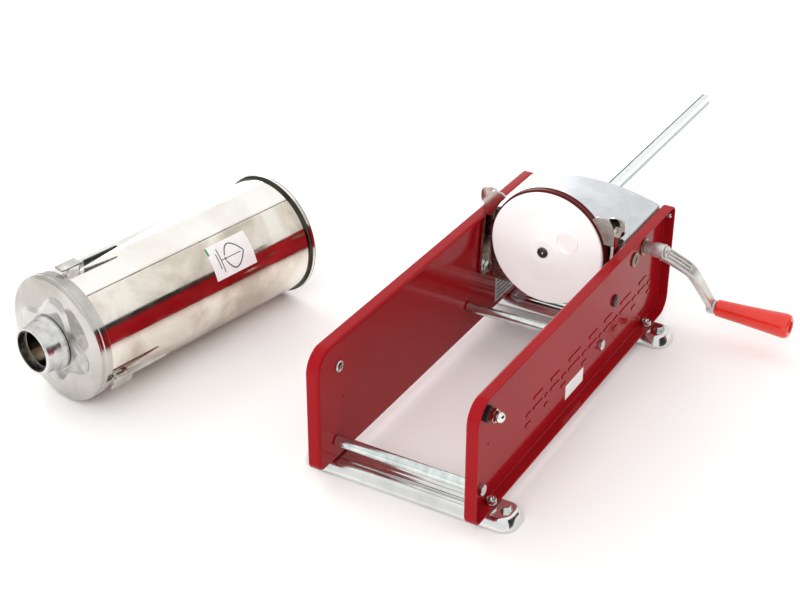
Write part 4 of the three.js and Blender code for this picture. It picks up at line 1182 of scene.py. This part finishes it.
def tube_rim_shade():
    """Painted shade: a near-black band over the hollow of the rolled bead, facing the cap, and a dark
    line along its open edge.
    """
    wall = [(-10.2, 70.76), (-9.0, 70.9, 2.0), (-7.4, 71.8, 1.0), (-6.3, 73.3, 0.6), (-5.2, 74.0, 0.2)]
    wall += [(-5.2, 73.0), (-6.4, 71.6), (-8.6, 70.3), (-10.2, 70.3)]
    line = [(-1.9, 74.3), (-0.8, 73.8), (-0.8, 73.2), (-1.9, 73.6)]
    bm = bmesh.new()
    for band in (wall, line):
        revolve(bm, softened(band, closed=True, steps=5), TUBE, 180, closed=True)
    make_piece("tube_rim_shade", bm, RIM_PAINTED_SHADE, "cylinder", sharp=50)


def cap():
    """The spun front cap: rounded shoulder, raised bead, dished face and threaded neck."""
    neck = [(-326.0, 22.8), (-350.0, 22.8, 0.4), (-350.0, 26.8, 0.6), (-349.2, 27.5)]
    profile = softened(neck, steps=3)
    profile += [Vector(p) for p in threaded(-349.0, -334.8, 27.5, 2.0, 0.9)]
    shoulder = [(-334.6, 26.6), (-334.0, 27.4, 0.3), (-334.0, 33.0), (-330.0, 33.2, 0.6)]
    shoulder += [(-330.0, 46.0, 8.0), (-329.2, 61.0, 8.0), (-327.9, 69.6, 3.0), (-326.6, 72.6, 1.0)]
    shoulder += [(-325.4, 73.1, 0.6), (-323.8, 73.1, 0.6), (-323.0, 72.4, 0.5), (-319.4, 72.3, 0.6)]
    shoulder += [(-318.4, 73.0, 0.6), (-312.6, 73.1, 0.4), (-311.0, 73.1, 0.4), (-311.0, 71.0, 0.2)]
    shoulder += [(-325.0, 71.0, 1.0), (-326.4, 66.0, 2.0), (-328.0, 46.0, 6.0), (-328.0, 28.0, 1.0)]
    profile += softened([*shoulder, (-326.0, 24.0, 0.5)], steps=6)
    bm = bmesh.new()
    revolve(bm, profile, TUBE, 160, closed=True)
    make_piece("cap", bm, CAP_STEEL, "cylinder", "cylinder_cap", sharp=50)


def lobed_boss():
    """The cap's raised boss: four broad lobes with soft shoulders."""
    levels = [(-329.7, 5.0), (-330.2, 4.4), (-331.0, 2.6)]
    levels += [(-332.2, 0.4), (-333.2, -2.0), (-333.8, -5.0)]
    angles = [TURN * i / 144 for i in range(144)]
    bm = bmesh.new()
    rings = []
    for level, spread in levels:
        lobes = [42.6 + 8.4 * math.cos(4 * (a - LOBE_ANGLE)) + spread for a in angles]
        rings.append(ring(bm, [TUBE @ polar(r, a, level) for r, a in zip(lobes, angles)]))
    rings += [ring(bm, [TUBE @ polar(30.0, a, level) for a in angles]) for level in (-334.1, -329.6)]
    skin(bm, rings, closed=True)
    make_piece("cap_boss", bm, BOSS_STEEL, "cylinder", sharp=60)


def nozzle_nut():
    """The cast ring nut: a smooth collar that widens a little towards its back."""
    back = -334.5
    shape = [(-26.0, 23.9, 0.5), (-26.0, 26.5, 0.9), (-24.4, 27.5, 1.2), (-17.0, 28.2, 4.0)]
    shape += [(-8.0, 29.8, 4.0), (-3.0, 31.4, 1.5), (-0.8, 31.6, 0.6), (0.0, 31.0, 0.4)]
    shape += [(0.0, 28.0, 0.4), (-15.6, 28.0, 0.8), (-16.0, 23.9, 0.6)]
    shape = [(back + a, *rest) for a, *rest in shape]
    options = {"closed": True, "steps": 5, "sharp": 50}
    lathe("ring_nut", shape, TUBE, 144, CAST, "nozzle_nut", "nozzle_nut", **options)


def on_tube(across, length, lift):
    """A point on the tube's skin, by arc length from the label's middle and distance from the rim."""
    return TUBE @ polar(TUBE_OUTER + lift, LABEL_ANGLE + across / TUBE_OUTER, -length)


def wrapped_patch(bm, across, length, lift, steps=16):
    """A thin sheet wrapped on the tube between two arc lengths and two distances."""
    rows = []
    for i in range(steps + 1):
        u = across[0] + (across[1] - across[0]) * i / steps
        rows.append(ring(bm, [on_tube(u, length[0], lift), on_tube(u, length[1], lift)]))
        rows[-1] += ring(bm, [on_tube(u, length[1], lift - 0.08), on_tube(u, length[0], lift - 0.08)])
    skin(bm, rows, capped=True)


def wrapped_line(bm, points, width):
    """A printed line on the tube through (across, length) points."""
    path = [Vector(p) for p in points]
    edges = ([], [])
    for i, here in enumerate(path):
        run = (path[min(i + 1, len(path) - 1)] - path[max(i - 1, 0)]).normalized()
        normal = Vector((-run.y, run.x)) * width / 2
        for edge, sign in zip(edges, (1, -1)):
            edge.append(bm.verts.new(on_tube(*(here + normal * sign), 0.2)))
    for i in range(len(path) - 1):
        bm.faces.new((edges[0][i], edges[0][i + 1], edges[1][i + 1], edges[1][i]))


def cylinder_label():
    """A white label with a plain leaf drawing over two bars, and a short green strip."""
    half = LABEL_WIDE / 2
    start, end = LABEL_FROM, LABEL_FROM + LABEL_LONG
    sheet = bmesh.new()
    wrapped_patch(sheet, (-half, half), (start, end), 0.16)
    make_piece("tube_label", sheet, LABEL_WHITE, "cylinder")
    middle = (start + end) / 2
    ink = bmesh.new()
    tip, foot = middle - 18, middle + 10
    for sign in (-1, 1):
        outline = []
        for t in (k / 16 for k in range(17)):
            outline.append((sign * 14.5 * math.sin(math.pi * t**0.8) ** 0.9, foot + (tip - foot) * t))
        wrapped_line(ink, outline, 1.5)
    wrapped_line(ink, [(0, foot + 6 - 30 * k / 8) for k in range(9)], 0.9)
    for row, reach in enumerate((14, 9)):
        level = foot + 6 + 3.6 * row
        wrapped_line(ink, [(reach * (k / 6 - 1), level) for k in range(13)], 1.2)
    make_piece("tube_label_leaf", ink, LABEL_INK, "cylinder")
    strip = bmesh.new()
    wrapped_patch(strip, (-half + 0.5, -half + 10), (end - 3.4, end - 0.6), 0.22, 6)
    make_piece("tube_label_strip", strip, LABEL_GREEN, "cylinder")


def weld_line():
    """The ground-down weld seam along the tube, a thin dull line."""
    across = TUBE_OUTER * (math.radians(WELD_ANGLE) - LABEL_ANGLE)
    bm = bmesh.new()
    for start in (9.5 + 25.0 * k for k in range(12)):
        wrapped_patch(bm, (across - 0.7, across + 0.7), (start, start + 25.0), 0.03, 2)
    make_piece("tube_weld", bm, WELD_STEEL, "cylinder")


tube()
tube_rim_shade()
cap()
lobed_boss()
# Only the right hook carries the painted shade along its fin; its twin on the left is left plain in the
# cap's steel.
refined("hook_bracket_right", "hook_right", HOOK_STEEL, "cylinder", 0.3)
refined("hook_bracket_left", "hook_left", CAP_STEEL, "cylinder", 0.3)
nozzle_nut()
cylinder_label()
weld_line()

# ---------------------------------------------------------------- floor, light and camera, in metres


def stage_sheet(name, look, corners, tones, scale, **values):
    """One flat face on the stage, in a matt noise-clouded material."""
    bm = bmesh.new()
    bm.faces.new([bm.verts.new(corner) for corner in corners])
    n = Nodes(look)
    n.set(Base_Color=n.ramp(n.noise(scale, 2), tones), **values)
    made = placed(name, mesh_of(name, bm, n.material))
    return made


def floor():
    half = 40.0
    corners = [(x, y, -0.0004) for x, y in ((-half, -half), (half, -half), (half, half), (-half, half))]
    tones = fade((0.925, 0.915, 0.905), (0.935, 0.925, 0.915), 0.3, 0.7)
    stage_sheet("floor", "floor_paper", corners, tones, 3, Roughness=0.9, Specular_IOR_Level=0.1)


def dark_card():
    """A dark flag beyond the crank side, seen only in mirror-bright surfaces."""
    outline = ((-0.30, 0.0), (1.00, 0.0), (0.95, 0.28), (0.70, 0.52), (-0.30, 0.60))
    tones = fade((0.020, 0.022, 0.024), (0.028, 0.030, 0.032), 0.3, 0.7)
    corners = [(0.9, y, z) for y, z in outline]
    matt = {"Roughness": 0.95, "Specular_IOR_Level": 0.0}
    card = stage_sheet("dark_card", "card_cloth", corners, tones, 8, **matt)
    for rays in ("camera", "diffuse", "shadow", "transmission", "volume_scatter"):
        setattr(card, f"visible_{rays}", False)


def studio():
    """A white studio: bright overhead, a little greyer towards the horizon."""
    world = bpy.data.worlds.new("studio")
    world.use_nodes = True
    tree = world.node_tree
    tree.nodes.clear()
    kinds = ("OutputWorld", "Background", "ValToRGB", "SeparateXYZ", "TexCoord")
    out, background, ramp, split, place = (tree.nodes.new("ShaderNode" + kind) for kind in kinds)
    tree.links.new(background.outputs[0], out.inputs[0])
    tree.links.new(place.outputs["Generated"], split.inputs[0])
    tree.links.new(split.outputs["Z"], ramp.inputs["Fac"])
    levels = [(0.0, 0.92), (0.10, 0.92), (0.28, 0.90), (0.45, 1.0), (1.0, 1.08)]
    set_stops(ramp, [(position, (level, level * 0.995, level * 0.985)) for position, level in levels])
    tree.links.new(ramp.outputs["Color"], background.inputs["Color"])
    background.inputs["Strength"].default_value = 1.0
    bpy.context.scene.world = world


def area_light(name, location, target, size, power, glossy=False):
    data = bpy.data.lights.new(name, "AREA")
    data.shape = "RECTANGLE"
    data.size, data.size_y = size
    data.energy = power
    light = placed(name, data)
    light.location = location
    light.rotation_mode = "QUATERNION"
    light.rotation_quaternion = (Vector(target) - Vector(location)).to_track_quat("-Z", "Y")
    light.visible_glossy = glossy


def camera():
    """A long lens, high in front of the crank side, looking down and a little askew."""
    data = bpy.data.cameras.new("camera")
    data.sensor_width = 36.0
    data.lens = 72.0
    data.clip_start, data.clip_end = 0.05, 60.0
    azimuth, elevation, roll = 30.0286, 30.1489, 0.1303
    turn = spin(azimuth) @ spin(90 - elevation, "X") @ spin(roll)
    made = placed("camera", data)
    made.matrix_world = Matrix.Translation((0.6404, -1.1146, 0.9749)) @ turn
    bpy.context.scene.camera = made


floor()
studio()
dark_card()
area_light("key", (-2.0, 0.7, 1.5), (0.0, 0.3, 0.1), (1.6, 1.6), 18)
area_light("front", (0.3, -2.0, 1.8), (0.0, 0.3, 0.1), (1.6, 1.2), 24)
area_light("rear", (-1.7, 2.4, 0.8), (0.0, 0.4, 0.15), (1.3, 1.0), 14, True)
camera()
bpy.context.scene.view_settings.view_transform = "Standard"
